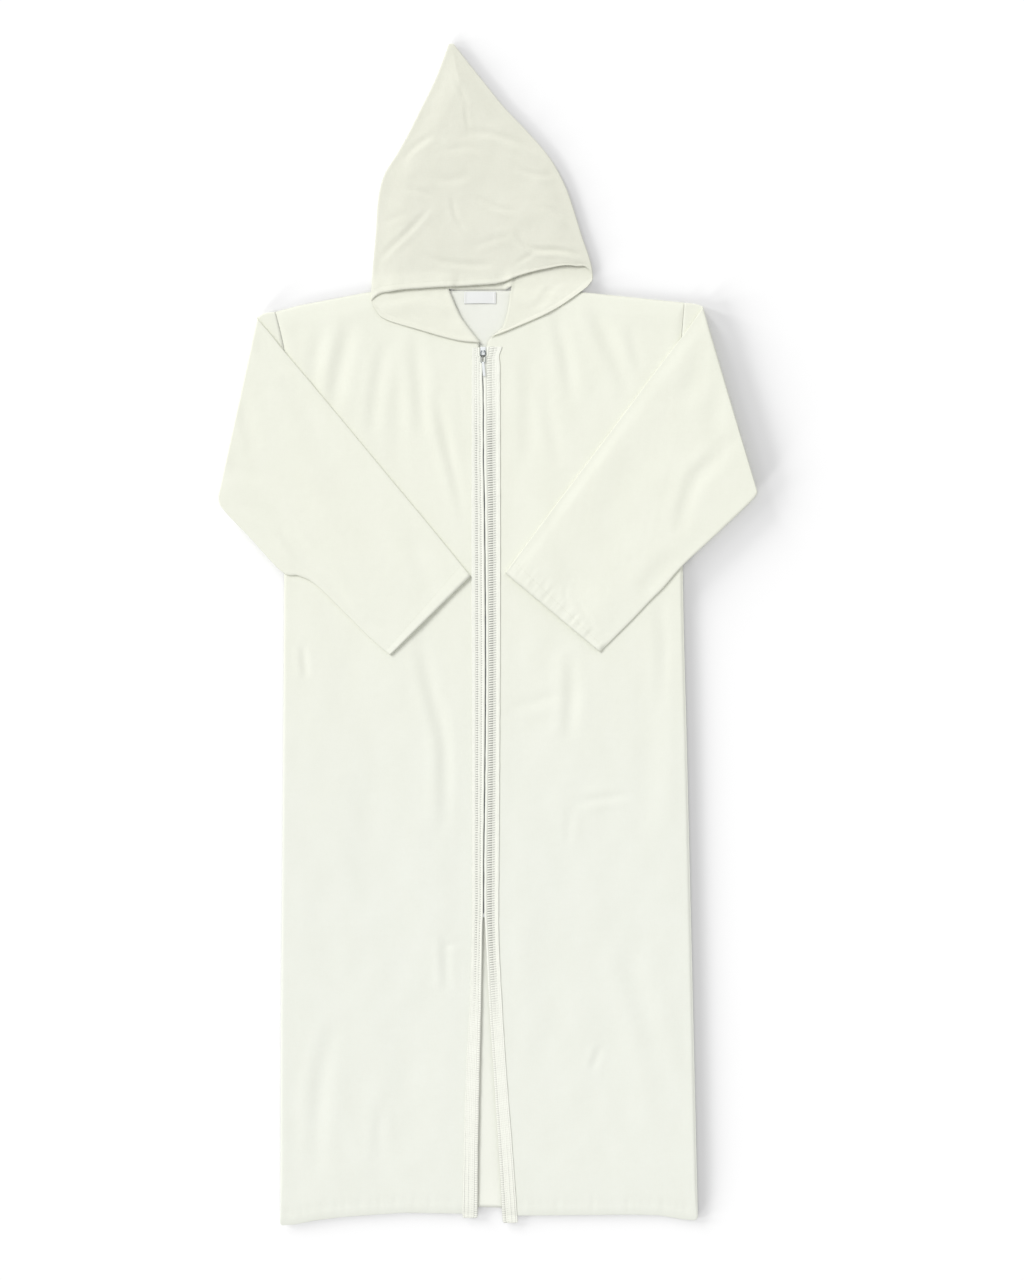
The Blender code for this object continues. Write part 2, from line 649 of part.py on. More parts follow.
# ---------------------------------------------------------------- braid, zip and label
def make_braid(side, finish):
    """A raised band on a front's centre edge: its points are the front's, moved out."""
    low_end, high_end = BRAID_ENDS[side]
    columns = (0.0, 0.12, 0.5, 0.88, 1.0)
    crowns = (0.45, 1.0, 0.85, 1.0, 0.45)
    steps = 32
    first, last = (1, 2) if side == "left" else (3, 4)
    hem = read(HEM, read(BRAIDS, low_end, first), 1)
    heights = [low_end] + [hem + row[0] for row in HEM_LIFT]
    heights += [heights[-1] + (high_end - heights[-1]) * (k + 1) / steps for k in range(steps)]
    outer, inner = {}, {}
    for i, y in enumerate(heights):
        a, b = read(BRAIDS, y, first), read(BRAIDS, y, last)
        base = read(HEM_LIFT, y - hem, 1) + CLOTH + GAP
        for j, share in enumerate(columns):
            x = a + (b - a) * share
            outer[i, j] = (x, y, base + BRAID_THICK * crowns[j])
            inner[i, j] = (x, y, base)
    return wall("braid_" + side, grid_cells(len(heights), len(columns)), outer, inner, finish)


def zip_x(y):
    return (read(BRAIDS, y, 2) + read(BRAIDS, y, 3)) / 2


def make_strip(name, heights, reach, base, thick, finish):
    """A flat strip along the zip, between two distances from its centre line."""
    outer, inner = {}, {}
    for i, y in enumerate(heights):
        for j, away in enumerate(reach):
            x = zip_x(y) + away
            outer[i, j] = (x, y, base + thick)
            inner[i, j] = (x, y, base)
    return wall(name, grid_cells(len(heights), len(reach)), outer, inner, finish)


def make_zip(tape_finish, metal):
    run = [ZIP_END - TAPE_PAST, ZIP_END, -200.0, 50.0, 210.0, 371.0, ZIP_TOP]
    tape_base = FRONT_FREE - GAP - TAPE_THICK
    near, far = CHAIN_HALF + GAP, CHAIN_HALF + GAP + TAPE_WIDE
    make_strip("zip_tape_left", run, (-far, -near), tape_base, TAPE_THICK, tape_finish)
    make_strip("zip_tape_right", run, (near, far), tape_base, TAPE_THICK, tape_finish)
    make_strip("zip_chain", run[1:-1] + [ZIP_TOP - CHAIN_SHORT], (-CHAIN_HALF, CHAIN_HALF),
               tape_base - GAP, CHAIN_THICK, metal)
    stop = [ZIP_END - STOP_LONG, ZIP_END - GAP]
    make_strip("zip_stop", stop, (-STOP_HALF, STOP_HALF), tape_base - GAP, CHAIN_THICK, metal)


def box(name, low, high, finish):
    """A plain block between two corners."""
    built = bmesh.new()
    bmesh.ops.create_cube(built, size=1.0)
    for vert in built.verts:
        for axis in range(3):
            share = vert.co[axis] + 0.5
            vert.co[axis] = (low[axis] + (high[axis] - low[axis]) * share) * MM
    mesh = bpy.data.meshes.new(name)
    built.to_mesh(mesh)
    built.free()
    return finish_mesh(name, mesh, finish)


def bevel(piece, width, segments=2):
    made = piece.modifiers.new("soft_edges", "BEVEL")
    made.width = width * MM
    made.segments = segments
    made.limit_method = "ANGLE"


def section_rod(name, outline, low_x, high_x, finish):
    """A prism along X whose section is a closed outline of (y, z) points."""
    built = bmesh.new()
    ends = []
    for x in (low_x, high_x):
        ends.append([built.verts.new((x * MM, y * MM, z * MM)) for y, z in outline])
    count = len(outline)
    for k in range(count):
        n = (k + 1) % count
        built.faces.new([ends[0][k], ends[0][n], ends[1][n], ends[1][k]])
    built.faces.new(ends[0][::-1])
    built.faces.new(ends[1])
    bmesh.ops.recalc_face_normals(built, faces=built.faces)
    mesh = bpy.data.meshes.new(name)
    built.to_mesh(mesh)
    built.free()
    return finish_mesh(name, mesh, finish)


def arc(radius, start, end, count):
    """Points (y, z) of an arc about the hinge axis, anticlockwise from +Y."""
    turns = [start + (end - start) * k / count for k in range(count + 1)]
    return [(radius * cos(turn), radius * sin(turn)) for turn in turns]


def boolean(piece, tool, operation):
    tool.hide_render = True
    tool.display_type = "WIRE"
    made = piece.modifiers.new(tool.name, "BOOLEAN")
    made.operation = operation
    made.solver = "EXACT"
    made.object = tool


def make_slider(metal):
    """Slider: a top and a bottom plate joined by a diamond, and the bail the link is on."""
    low_y, high_y = BAIL_Y + PLATE_REACH[0], BAIL_Y + PLATE_REACH[1]
    left, right = SLIDER_X - SLIDER_WIDE / 2, SLIDER_X + SLIDER_WIDE / 2
    body = box("zip_slider", (left, low_y, PLATE_TOP[0]), (right, high_y, PLATE_TOP[1]), metal)
    bevel(body, PLATE_BEVEL)
    base = box("bottom_plate", (left, low_y, PLATE_LOW[0]), (right, high_y, PLATE_LOW[1]), metal)
    diamond = box("diamond",
                  (SLIDER_X - DIAMOND_HALF, BAIL_Y + DIAMOND_REACH[0], DIAMOND_Z[0]),
                  (SLIDER_X + DIAMOND_HALF, BAIL_Y + DIAMOND_REACH[1], DIAMOND_Z[1]), metal)
    inside, outside = BAIL_CLEAR, BAIL_CLEAR + BAIL_BAR
    foot = PLATE_TOP[1] - BAIL_SUNK - PULL_Z
    rim = [(outside, foot)] + arc(outside, 0.0, pi, 10)
    rim += [(-outside, foot), (-inside, foot)]
    rim += arc(inside, pi, 0.0, 8) + [(inside, foot)]
    bail = section_rod("bail", rim, SLIDER_X - BAIL_WIDE / 2, SLIDER_X + BAIL_WIDE / 2, metal)
    bail.location = Vector((0.0, BAIL_Y, PULL_Z)) * MM
    for tool in (diamond, base, bail):
        boolean(body, tool, "UNION")


def make_link(metal):
    """Rectangular link with round corners, from one round bar, built about its hinge."""
    half = LINK_WIDE / 2 - LINK_BAR
    corner = LINK_CORNER
    sides, turns = 8, 4
    path = []
    reach = LINK_LONG - corner
    centres = ((half - corner, -corner, pi / 2, 0.0),
               (half - corner, -reach, 0.0, -pi / 2),
               (-half + corner, -reach, -pi / 2, -pi),
               (-half + corner, -corner, pi, pi / 2))
    for cx, cy, start, end in centres:
        for k in range(turns + 1):
            angle = start + (end - start) * k / turns
            path.append((cx + corner * cos(angle), cy + corner * sin(angle),
                         cos(angle), sin(angle)))
    built = bmesh.new()
    rings = []
    for x, y, out_x, out_y in path:
        ring = []
        for k in range(sides):
            angle = 2 * pi * (k + 0.5) / sides
            away, rise = LINK_BAR * cos(angle), LINK_BAR * sin(angle)
            point = Vector((x + out_x * away, y + out_y * away, rise))
            ring.append(built.verts.new(point * MM))
        rings.append(ring)
    for a, b in zip(rings, rings[1:] + rings[:1]):
        for k in range(sides):
            n = (k + 1) % sides
            built.faces.new([a[k], a[n], b[n], b[k]])
    bmesh.ops.recalc_face_normals(built, faces=built.faces)
    mesh = bpy.data.meshes.new("pull_link")
    built.to_mesh(mesh)
    built.free()
    mesh.shade_smooth()
    link = finish_mesh("pull_link", mesh, metal)
    link.location = Vector((SLIDER_X, BAIL_Y, PULL_Z)) * MM
    return link


def make_tab(metal):
    """Flat tab with a rolled eye round the link's lower bar, built about that hinge."""
    half_thick = TAB_THICK / 2
    open_turn = asin(half_thick / EYE_OUT)
    outline = [(-TAB_LONG, -half_thick)]
    outline += arc(EYE_OUT, -pi + open_turn, pi - open_turn, 14)
    outline += [(-TAB_LONG, half_thick)]
    tab = section_rod("pull_tab", outline, -TAB_WIDE / 2, TAB_WIDE / 2, metal)
    sides = 14
    bore = section_rod("eye_bore", arc(EYE_IN, 0.0, 2 * pi * (1 - 1 / sides), sides - 1),
                       -TAB_WIDE, TAB_WIDE, metal)
    bore.parent = tab
    boolean(tab, bore, "DIFFERENCE")
    tab.location = Vector((SLIDER_X, BAIL_Y - LINK_LONG, PULL_Z)) * MM
    tab.rotation_euler.z = TAB_SLANT


def make_label(finish):
    left = (NECK_LEFT + NECK_RIGHT) / 2 - LABEL_WIDE / 2
    top = BACK_NECK - LABEL_DOWN
    low = CLOTH + GAP
    return box("neck_label", (left, top - LABEL_TALL, low),
               (left + LABEL_WIDE, top, low + LABEL_THICK), finish)


def main():
    clear_scene()
    ivory = material("ivory_cloth", (0.87, 0.88, 0.80), 0.85)
    braid = material("ivory_braid", (0.84, 0.84, 0.77), 0.7)
    tape = material("zip_tape_weave", (0.80, 0.82, 0.78), 0.8)
    metal = material("zip_metal", (0.62, 0.66, 0.68), 0.3, 1.0)
    paper_white = material("label_weave", (0.92, 0.93, 0.92), 0.7)
    make_back(ivory)
    for side in ("left", "right"):
        make_front(side, ivory)
        make_braid(side, braid)
    make_sleeve("left", SLEEVE_LEFT, STUB_LEFT, ivory)
    make_sleeve("right", SLEEVE_RIGHT, STUB_RIGHT, ivory)
    make_hood(ivory)
    make_zip(tape, metal)
    make_slider(metal)
    make_link(metal)
    make_tab(metal)
    make_label(paper_white)


main()
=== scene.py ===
# %% [markdown]
# # A hooded, zip-front robe laid flat
# The robe is one garment of ivory plain-weave cloth. It lies on its back on a pale
# floor, both sleeves folded over the front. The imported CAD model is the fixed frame:
# every cloth piece made here rides on the body "robe", and the metal pull keeps its own
# two bodies. Sizes are in millimetres until a mesh is made, because that is how a maker
# measures cloth.

from math import cos, pi, radians, sin, sqrt

import bmesh
import bpy
import numpy as np
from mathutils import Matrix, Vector


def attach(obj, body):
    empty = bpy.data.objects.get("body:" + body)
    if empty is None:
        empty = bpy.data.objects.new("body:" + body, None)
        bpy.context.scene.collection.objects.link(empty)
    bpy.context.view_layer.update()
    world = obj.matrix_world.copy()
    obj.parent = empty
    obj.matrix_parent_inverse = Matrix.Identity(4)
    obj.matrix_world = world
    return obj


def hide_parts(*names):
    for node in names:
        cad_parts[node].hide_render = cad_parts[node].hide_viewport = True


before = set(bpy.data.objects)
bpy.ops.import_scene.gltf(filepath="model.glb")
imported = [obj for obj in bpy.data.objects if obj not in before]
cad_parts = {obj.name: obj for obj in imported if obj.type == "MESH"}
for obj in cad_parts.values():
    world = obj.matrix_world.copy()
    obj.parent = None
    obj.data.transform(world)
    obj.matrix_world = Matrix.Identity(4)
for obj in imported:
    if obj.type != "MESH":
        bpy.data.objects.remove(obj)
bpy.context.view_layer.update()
MM = 0.001

# %% [markdown]
# ## Camera, floor and light
# A garment laid out like this is shot from a copy stand, straight down, with a long
# lens so that the edges stay parallel. The key lamp stands on the upper left, and its
# slanting light is what makes soft cloth readable: a fold only 2 mm deep still turns one
# flank away from it. The pale surround fills the rest, so no shadow gets dark.
#
# One lamp can't give both that modelling and a wide soft shadow. So the key leaves the
# floor out, and the floor has four low suns of its own, fanned round the left side.

# %% Camera
VIEW_TALL = 1945.6             # height of floor that the frame takes in
VIEW_CENTRE = (38.0, -8.4)
LENS, SENSOR = 100.0, 36.0
CLOTH_TOP = 6.0                # height that the framing is measured at

stage = bpy.context.scene
camera_data = bpy.data.cameras.new("copy_stand")
camera_data.sensor_fit = "VERTICAL"
camera_data.sensor_height = SENSOR
camera_data.lens = LENS
camera = bpy.data.objects.new("copy_stand", camera_data)
camera.location = (VIEW_CENTRE[0] * MM, VIEW_CENTRE[1] * MM,
                   (CLOTH_TOP + VIEW_TALL * LENS / SENSOR) * MM)
stage.collection.objects.link(camera)
stage.camera = camera
stage.view_settings.view_transform = "Standard"
print("camera is", round(camera.location.z, 2), "m up")


# %% Floor and lamps
FLOOR_HALF = 4.0               # half the floor's width, in metres
FLOOR_DROP = 0.3               # how far it lies below the robe's underside
PAPER_GREY = 0.94
SURROUND = 0.66                # strength of the even light from all round
# Turn, rise, strength and spread of the cloth's own lamp, then rise, strength and spread
# of each of the floor's lamps. Angles are in degrees.
KEY = (140, 45, 1.86, 30)
SWEEP_TURNS, SWEEP = (128, 162, 198, 232), (6.2, 3.15, 12)


def principled(name):
    """A new material, its node tree and its shader, for the cells below to fill in."""
    made = bpy.data.materials.new(name)
    made.use_nodes = True
    return made, made.node_tree, made.node_tree.nodes["Principled BSDF"]


def fill(node, values):
    """Set a node's inputs by name."""
    for name, value in values.items():
        node.inputs[name].default_value = value


floor_mesh = bpy.data.meshes.new("floor")
floor_mesh.from_pydata([(across * FLOOR_HALF, along * FLOOR_HALF, 0)
                        for across, along in ((-1, -1), (1, -1), (1, 1), (-1, 1))],
                       [], [(0, 1, 2, 3)])
floor = bpy.data.objects.new("floor", floor_mesh)
floor.location.z = -FLOOR_DROP * MM
stage.collection.objects.link(floor)
paper, _, shader = principled("floor_paper")
fill(shader, {"Base Color": (PAPER_GREY, PAPER_GREY, PAPER_GREY, 1.0), "Roughness": 0.9,
              "Specular IOR Level": 0.1})
floor_mesh.materials.append(paper)

world = bpy.data.worlds.new("surround")
world.use_nodes = True
fill(world.node_tree.nodes["Background"], {"Color": (1.0, 1.0, 1.0, 1.0), "Strength": SURROUND})
stage.world = world


def lamp(name, turn, rise, strength, spread, floor_gets_it):
    """A far soft lamp, for the floor alone or for everything but the floor. Turn and rise
    say where it stands."""
    data = bpy.data.lights.new(name, "SUN")
    data.energy = strength
    data.angle = radians(spread)
    made = bpy.data.objects.new(name, data)
    away = Vector((cos(radians(turn)) * cos(radians(rise)),
                   sin(radians(turn)) * cos(radians(rise)), sin(radians(rise))))
    made.rotation_euler = (-away).to_track_quat("-Z", "Y").to_euler()
    stage.collection.objects.link(made)
    lit = bpy.data.collections.new(name + "_lights")
    lit.objects.link(floor)
    if not floor_gets_it:
        lit.collection_objects[0].light_linking.link_state = "EXCLUDE"
    made.light_linking.receiver_collection = lit


lamp("key", *KEY, False)
for number, turn in enumerate(SWEEP_TURNS):
    lamp("sweep_%d" % number, turn, *SWEEP, True)

# %% [markdown]
# ## Reading a pattern
# A maker's pattern is a few measured points joined by a fair curve. The tables below
# hold those points. `glide` reads a table whose first column rises, and `fair_curve`
# draws a smooth line through points in the plane.


# %% Reading tables and drawing fair curves
CURVE_FINE = 40                # steps to each given point when a curve is drawn


def hermite(knots, values, slopes, at):
    """Smooth line through values at knots, with a given slope at each."""
    k = np.clip(np.searchsorted(knots, at, "right") - 1, 0, len(knots) - 2)
    span = knots[k + 1] - knots[k]
    t = (at - knots[k]) / span
    return (values[k] * (1 + 2 * t) * (1 - t) ** 2 + values[k + 1] * t * t * (3 - 2 * t)
            + span * (slopes[k] * t * (1 - t) ** 2 - slopes[k + 1] * t * t * (1 - t)))


def glide(table, at, column=1):
    """Smooth reading of a table, with the slope at each row taken from its neighbours."""
    rows = np.array(table, float)
    knots, values = rows[:, 0], rows[:, column]
    return hermite(knots, values, np.gradient(values, knots), np.clip(at, knots[0], knots[-1]))


def straight(table, at, column=1):
    """Reading of a table along straight lines between its rows."""
    rows = np.array(table, float)
    return np.interp(at, rows[:, 0], rows[:, column])


def run_along(line):
    """How far along a line, seen from above, each of its points lies."""
    return np.concatenate([[0], np.cumsum(np.hypot(*np.diff(line[:, :2], axis=0).T))])


def fair_curve(points, shares):
    """Points at shares, 0 to 1, of the length of a fair curve through the given points."""
    given = np.array(points, float)
    index, slopes = np.arange(len(given)), np.gradient(given, axis=0)
    fine = np.linspace(0, len(given) - 1, CURVE_FINE * len(given))
    line = np.stack([hermite(index, given[:, c], slopes[:, c], fine)
                     for c in range(given.shape[1])], -1)
    run = run_along(line)
    goal = np.asarray(shares) * run[-1]
    return np.stack([np.interp(goal, run, line[:, c]) for c in range(given.shape[1])], -1)


def ease(value, low, high):
    """0 below low, 1 above high, and a soft step between them."""
    t = np.clip((np.asarray(value, float) - low) / (high - low), 0.0, 1.0)
    return t * t * (3 - 2 * t)


# %% [markdown]
# ## How cloth gives way
# Pressed cloth still keeps three kinds of relief. Long drag folds run from where it was
# pulled, so each is given one by one: a line, half its width and its depth, with a ridge
# pushed up on one flank. Between them lie broad swells, made here as a sum of gentle
# waves with a fixed seed. Along sewn edges it puckers at the pitch of the stitches.


# %% Relief helpers
# A fold's two flanks: height as a share of its depth, then place and width in half widths.
FLANKS = ((0.6, 1.55, 0.95), (0.3, -1.6, 1.0))
FOLD_POINTS, FOLD_FADE = 6, 0.7
PUCKER_SIZES, PUCKER_REACH = (0.83, 1.0, 1.37, 2.1), 0.75
HEM_STEP, GROOVE_WIDE = (1.5, 1.0), 1.6    # how soft a hem's step is, and its stitch groove


def bell(value, middle, width):
    return np.exp(-((value - middle) / width) ** 2)


def fold_relief(x, y, folds):
    """Height added by listed folds: a trough that fades at both ends, with ridges."""
    total = np.zeros_like(x)
    for points, half, depth in folds:
        line = fair_curve(points, np.linspace(0, 1, FOLD_POINTS * len(points)))
        nearest = np.full_like(x, 1e9)
        side, share = np.zeros_like(x), np.zeros_like(x)
        count = len(line) - 1
        for k in range(count):
            (ax, ay), (bx, by) = line[k], line[k + 1]
            dx, dy = bx - ax, by - ay
            length = sqrt(dx * dx + dy * dy)
            t = np.clip(((x - ax) * dx + (y - ay) * dy) / length ** 2, 0, 1)
            away = np.hypot(x - ax - t * dx, y - ay - t * dy)
            closer = away < nearest
            nearest = np.where(closer, away, nearest)
            side = np.where(closer, ((x - ax) * dy - (y - ay) * dx) / length, side)
            share = np.where(closer, (k + t) / count, share)
        reach = np.where(side < 0, -nearest, nearest) / half
        fade = np.clip(4 * share * (1 - share), 0, 1) ** FOLD_FADE
        past_end = np.exp(-np.clip(nearest - np.abs(side), 0, None) / half)
        flanks = sum(tall * bell(reach, place, width) for tall, place, width in FLANKS)
        total += depth * fade * past_end * (flanks - bell(reach, 0, 1))
    return total


def swells(x, y, size, lean, spread, seed, count=12):
    """Gentle waves of about one size, in mm, whose crests run near one direction."""
    chance = np.random.default_rng(seed)
    total = np.zeros_like(x)
    for _ in range(count):
        turn = radians(lean + 90 + chance.normal(0, spread))
        wave = size * chance.uniform(0.7, 1.7)
        start = chance.uniform(0, 2 * pi)
        total += np.sin((x * cos(turn) + y * sin(turn)) * 2 * pi / wave + start)
    return total / sqrt(count / 2)


def all_swells(x, y, table):
    """Swells of several sizes; a row is their height, size, lean, spread, seed and count."""
    return sum(tall * swells(x, y, *rest) for tall, *rest in table)


def puckers(run, depth_in, pitch, seed):
    """Small ripples along a sewn hem: strongest at the stitch line, gone at the fold."""
    chance = np.random.default_rng(seed)
    wander = sum(np.sin(run * 2 * pi / (pitch * size) + chance.uniform(0, 2 * pi))
                 for size in PUCKER_SIZES)
    return wander / 2.0 * bell(depth_in, 1.0, PUCKER_REACH)


def turned_hem(run, away, deep, double, groove, ripples, groove_wide=GROOVE_WIDE):
    """A hem turned in this deep: cloth doubled to its stitches, their groove, and puckers,
    each with its height, pitch and seed."""
    height = double * (1 - ease(away, deep - HEM_STEP[0], deep + HEM_STEP[1]))
    height = height - groove * bell(away, deep, groove_wide)
    for tall, pitch, seed in ripples:
        height = height + tall * puckers(run, away / deep, pitch, seed)
    return height


# %% [markdown]
# ## From grids to sewn cloth
# Each piece of cloth is laid out as grids of points, the way a pattern is laid out on a
# table, and grids whose edges meet are sewn into one surface. Solidify then gives the
# wall. A grid is turned by its own sign of area, so its outer side always faces out.


# %% Sewing grids into one piece
WALL = 1.0                     # wall of one layer of cloth
TOUCH = 0.35                   # air between two layers that lie on each other
SEWN = 0.004                   # points nearer than this are sewn into one
EDGE_STEPS = (0.0, 0.35, 1.0, 2.0, 3.3, 5.0, 7.0)   # stations in from a rounded edge


def plan_area(grid):
    """Signed area of a grid seen from above, in square mm."""
    a, b, c, d = grid[:-1, :-1], grid[:-1, 1:], grid[1:, 1:], grid[1:, :-1]
    p, q = c - a, d - b
    return float((p[..., 0] * q[..., 1] - p[..., 1] * q[..., 0]).sum() / 2)


def quads_of(index):
    """Faces between the rows and columns of a grid of point numbers."""
    return np.stack([index[:-1, :-1], index[:-1, 1:], index[1:, 1:], index[1:, :-1]],
                    -1).reshape(-1, 4)


def piece_of(name, mesh, finish, node):
    """A piece of the robe from its mesh. It may stand for a CAD node."""
    mesh.materials.append(finish)
    made = bpy.data.objects.new(name, mesh)
    stage.collection.objects.link(made)
    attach(made, "robe")
    if node:
        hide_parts(node)
    print(name, "has", len(mesh.polygons), "faces")
    return made


def sew(name, grids, finish, node, wall=WALL):
    """One piece from (grid, faces_up) pairs, joined where points coincide, and its area in
    square metres."""
    points, faces, start = [], [], 0
    for grid, up in grids:
        rows, columns = grid.shape[:2]
        quads = quads_of(start + np.arange(rows * columns).reshape(rows, columns))
        if (plan_area(grid) > 0) != up:
            quads = quads[:, ::-1]
        points.append(grid.reshape(-1, 3))
        faces.append(quads)
        start += rows * columns
    mesh = bpy.data.meshes.new(name)
    mesh.from_pydata((np.concatenate(points) * MM).tolist(), [], np.concatenate(faces).tolist())
    if len(grids) > 1:
        built = bmesh.new()
        built.from_mesh(mesh)
        bmesh.ops.remove_doubles(built, verts=built.verts, dist=SEWN * MM)
        built.to_mesh(mesh)
        built.free()
    mesh.shade_smooth()
    made = piece_of(name, mesh, finish, node)
    thicken = made.modifiers.new("wall", "SOLIDIFY")
    thicken.thickness = wall * MM
    thicken.offset = -1.0
    return made, sum(abs(plan_area(grid)) for grid, _ in grids) * MM * MM


def near_edges(length, step, ends=(True, True)):
    """Stations along a length: close together by a rounded edge, evenly spaced inside."""
    low = EDGE_STEPS if ends[0] else (0.0,)
    high = [length - r for r in reversed(EDGE_STEPS)] if ends[1] else [length]
    count = max(2, int((high[0] - low[-1]) / step))
    inside = np.linspace(low[-1], high[0], count + 1)[1:-1]
    return np.concatenate([low, inside, high]) / length


def rounded(away, radius):
    """Height share of a rounded fold at a distance in from its edge."""
    t = np.clip(np.asarray(away, float) / radius, 0, 1)
    return np.sqrt(np.clip(1 - (1 - t) ** 2, 0, 1))


# %% [markdown]
# ## The ivory cloth
# The robe is a matt ivory plain weave, a crepe-like polyester with fine slubs. Up close
# threads cross at about 0.7 mm; from a copy stand only faint streaks along both threads
# are left. The weave is bump from two crossed waves, the streaks are stretched noise, and
# a slow mottle keeps the ivory from being one flat colour. The hood is the same cloth,
# doubled; its copy is painted darker from just above the rim up to the tip, as painted shade.


# %% Cloth material
THREAD = 0.72                  # distance between threads
SLUB_SCALE, SLUB_STRETCH = 900.0, 0.12
MOTTLE_SHARE, TONE_RANGE = 1.4, (1.2, 2.2)   # sum of the noises that runs dark to light
SLUB_BUMP, WEAVE_STRENGTH = 1.5, 0.55


def noise(tree, place, stretch, scale, detail=3.0):
    """Noise stretched along one axis; stretch gives the scale of x, y and z."""
    mapping = tree.nodes.new("ShaderNodeMapping")
    fill(mapping, {"Scale": stretch})
    tree.links.new(place.outputs["Object"], mapping.inputs["Vector"])
    made = tree.nodes.new("ShaderNodeTexNoise")
    fill(made, {"Scale": scale, "Detail": detail})
    tree.links.new(mapping.outputs["Vector"], made.inputs["Vector"])
    return made.outputs["Fac"]


def threads(tree, place, axis, pitch):
    """Parallel threads across one axis, one wave to a thread."""
    made = tree.nodes.new("ShaderNodeTexWave")
    made.bands_direction = axis
    fill(made, {"Scale": 2 * pi / (20 * pitch * MM), "Distortion": 1.2, "Detail Scale": 1.5})
    tree.links.new(place.outputs["Object"], made.inputs["Vector"])
    return made.outputs["Fac"]


def add(tree, first, second, share=1.0):
    """first plus a share of second."""
    made = tree.nodes.new("ShaderNodeMath")
    made.operation = "MULTIPLY_ADD"
    tree.links.new(second, made.inputs[0])
    made.inputs[1].default_value = share
    tree.links.new(first, made.inputs[2])
    return made.outputs[0]


def bumped(tree, shader, height, strength, deep):
    """Relief that is only shaded: its height, strength and depth in mm."""
    bump = tree.nodes.new("ShaderNodeBump")
    fill(bump, {"Strength": strength, "Distance": deep * MM})
    tree.links.new(height, bump.inputs["Height"])
    tree.links.new(bump.outputs["Normal"], shader.inputs["Normal"])


def woven(name, light, dark, roughness, pitch=THREAD, relief=0.12, mottle=26.0, far=None):
    """Plain weave: crossed threads, slubs along both, and a slow change of tone. far gives
    a tint, and the two heights in mm between which it comes in down the length."""
    made, tree, shader = principled(name)
    place = tree.nodes.new("ShaderNodeTexCoord")
    slub_x = noise(tree, place, (SLUB_STRETCH, 1.0, 1.0), SLUB_SCALE)
    slub_y = noise(tree, place, (1.0, SLUB_STRETCH, 1.0), SLUB_SCALE)
    slow = noise(tree, place, (1.0, 0.6, 1.0), mottle, 2.0)
    tone = add(tree, add(tree, slub_x, slub_y), slow, MOTTLE_SHARE)
    ramp = tree.nodes.new("ShaderNodeMapRange")
    fill(ramp, {"From Min": TONE_RANGE[0], "From Max": TONE_RANGE[1]})
    tree.links.new(tone, ramp.inputs["Value"])
    mix = tree.nodes.new("ShaderNodeMix")
    mix.data_type = "RGBA"
    mix.inputs[6].default_value = (*dark, 1.0)
    mix.inputs[7].default_value = (*light, 1.0)
    tree.links.new(ramp.outputs["Result"], mix.inputs[0])
    colour = mix.outputs[2]
    if far:
        tint, start, end = far
        axes = tree.nodes.new("ShaderNodeSeparateXYZ")
        tree.links.new(place.outputs["Object"], axes.inputs[0])
        drift = tree.nodes.new("ShaderNodeMapRange")
        drift.interpolation_type = "SMOOTHSTEP"
        fill(drift, {"From Min": start * MM, "From Max": end * MM})
        tree.links.new(axes.outputs["Y"], drift.inputs["Value"])
        tinted = tree.nodes.new("ShaderNodeMix")
        tinted.data_type = "RGBA"
        tinted.blend_type = "MULTIPLY"
        tinted.inputs[7].default_value = (*tint, 1.0)
        tree.links.new(drift.outputs["Result"], tinted.inputs[0])
        tree.links.new(colour, tinted.inputs[6])
        colour = tinted.outputs[2]
    tree.links.new(colour, shader.inputs["Base Color"])
    height = add(tree, threads(tree, place, "X", pitch), threads(tree, place, "Y", pitch))
    height = add(tree, add(tree, height, slub_x, SLUB_BUMP), slub_y, SLUB_BUMP)
    bumped(tree, shader, height, WEAVE_STRENGTH, relief)
    fill(shader, {"Roughness": roughness, "Specular IOR Level": 0.25, "Sheen Weight": 0.12,
                  "Sheen Roughness": 0.5})
    return made


cloth = woven("ivory_cloth", (0.860, 0.872, 0.768), (0.835, 0.847, 0.738), 0.88,
              far=((0.985, 0.992, 1.03), 220.0, -420.0))
# painted shade: the hood's copy of the cloth, darker from just above the rim up to the tip
hood_cloth = woven("ivory_cloth_painted_shade", (0.880, 0.886, 0.774), (0.842, 0.850, 0.734), 0.88,
                   relief=0.2, mottle=34.0, far=((0.930, 0.926, 0.925), 512.0, 575.0))
# painted shade: a cooler copy of the cloth for the back's inside; painted light: lighter towards
# the hem
inner_cloth = woven("ivory_cloth_inside_painted_light_and_shade", (0.850, 0.862, 0.795), (0.828, 0.840, 0.770), 0.9,
                    far=((1.045, 1.045, 1.03), -250.0, -500.0))
print("thread pitch", THREAD, "mm")

# %% [markdown]
# ## Front panels
# Each front is one long panel: side seam on the outside, hem at the bottom, shoulder and
# neck at the top and the zip with its braid down the middle. It rests on the back, rolls
# down to the floor at the side seam, and thins to the floor at the hem. One function
# gives the height of the front's upper face anywhere, because the sleeves and the hood's
# lapels have to lie on that same surface.

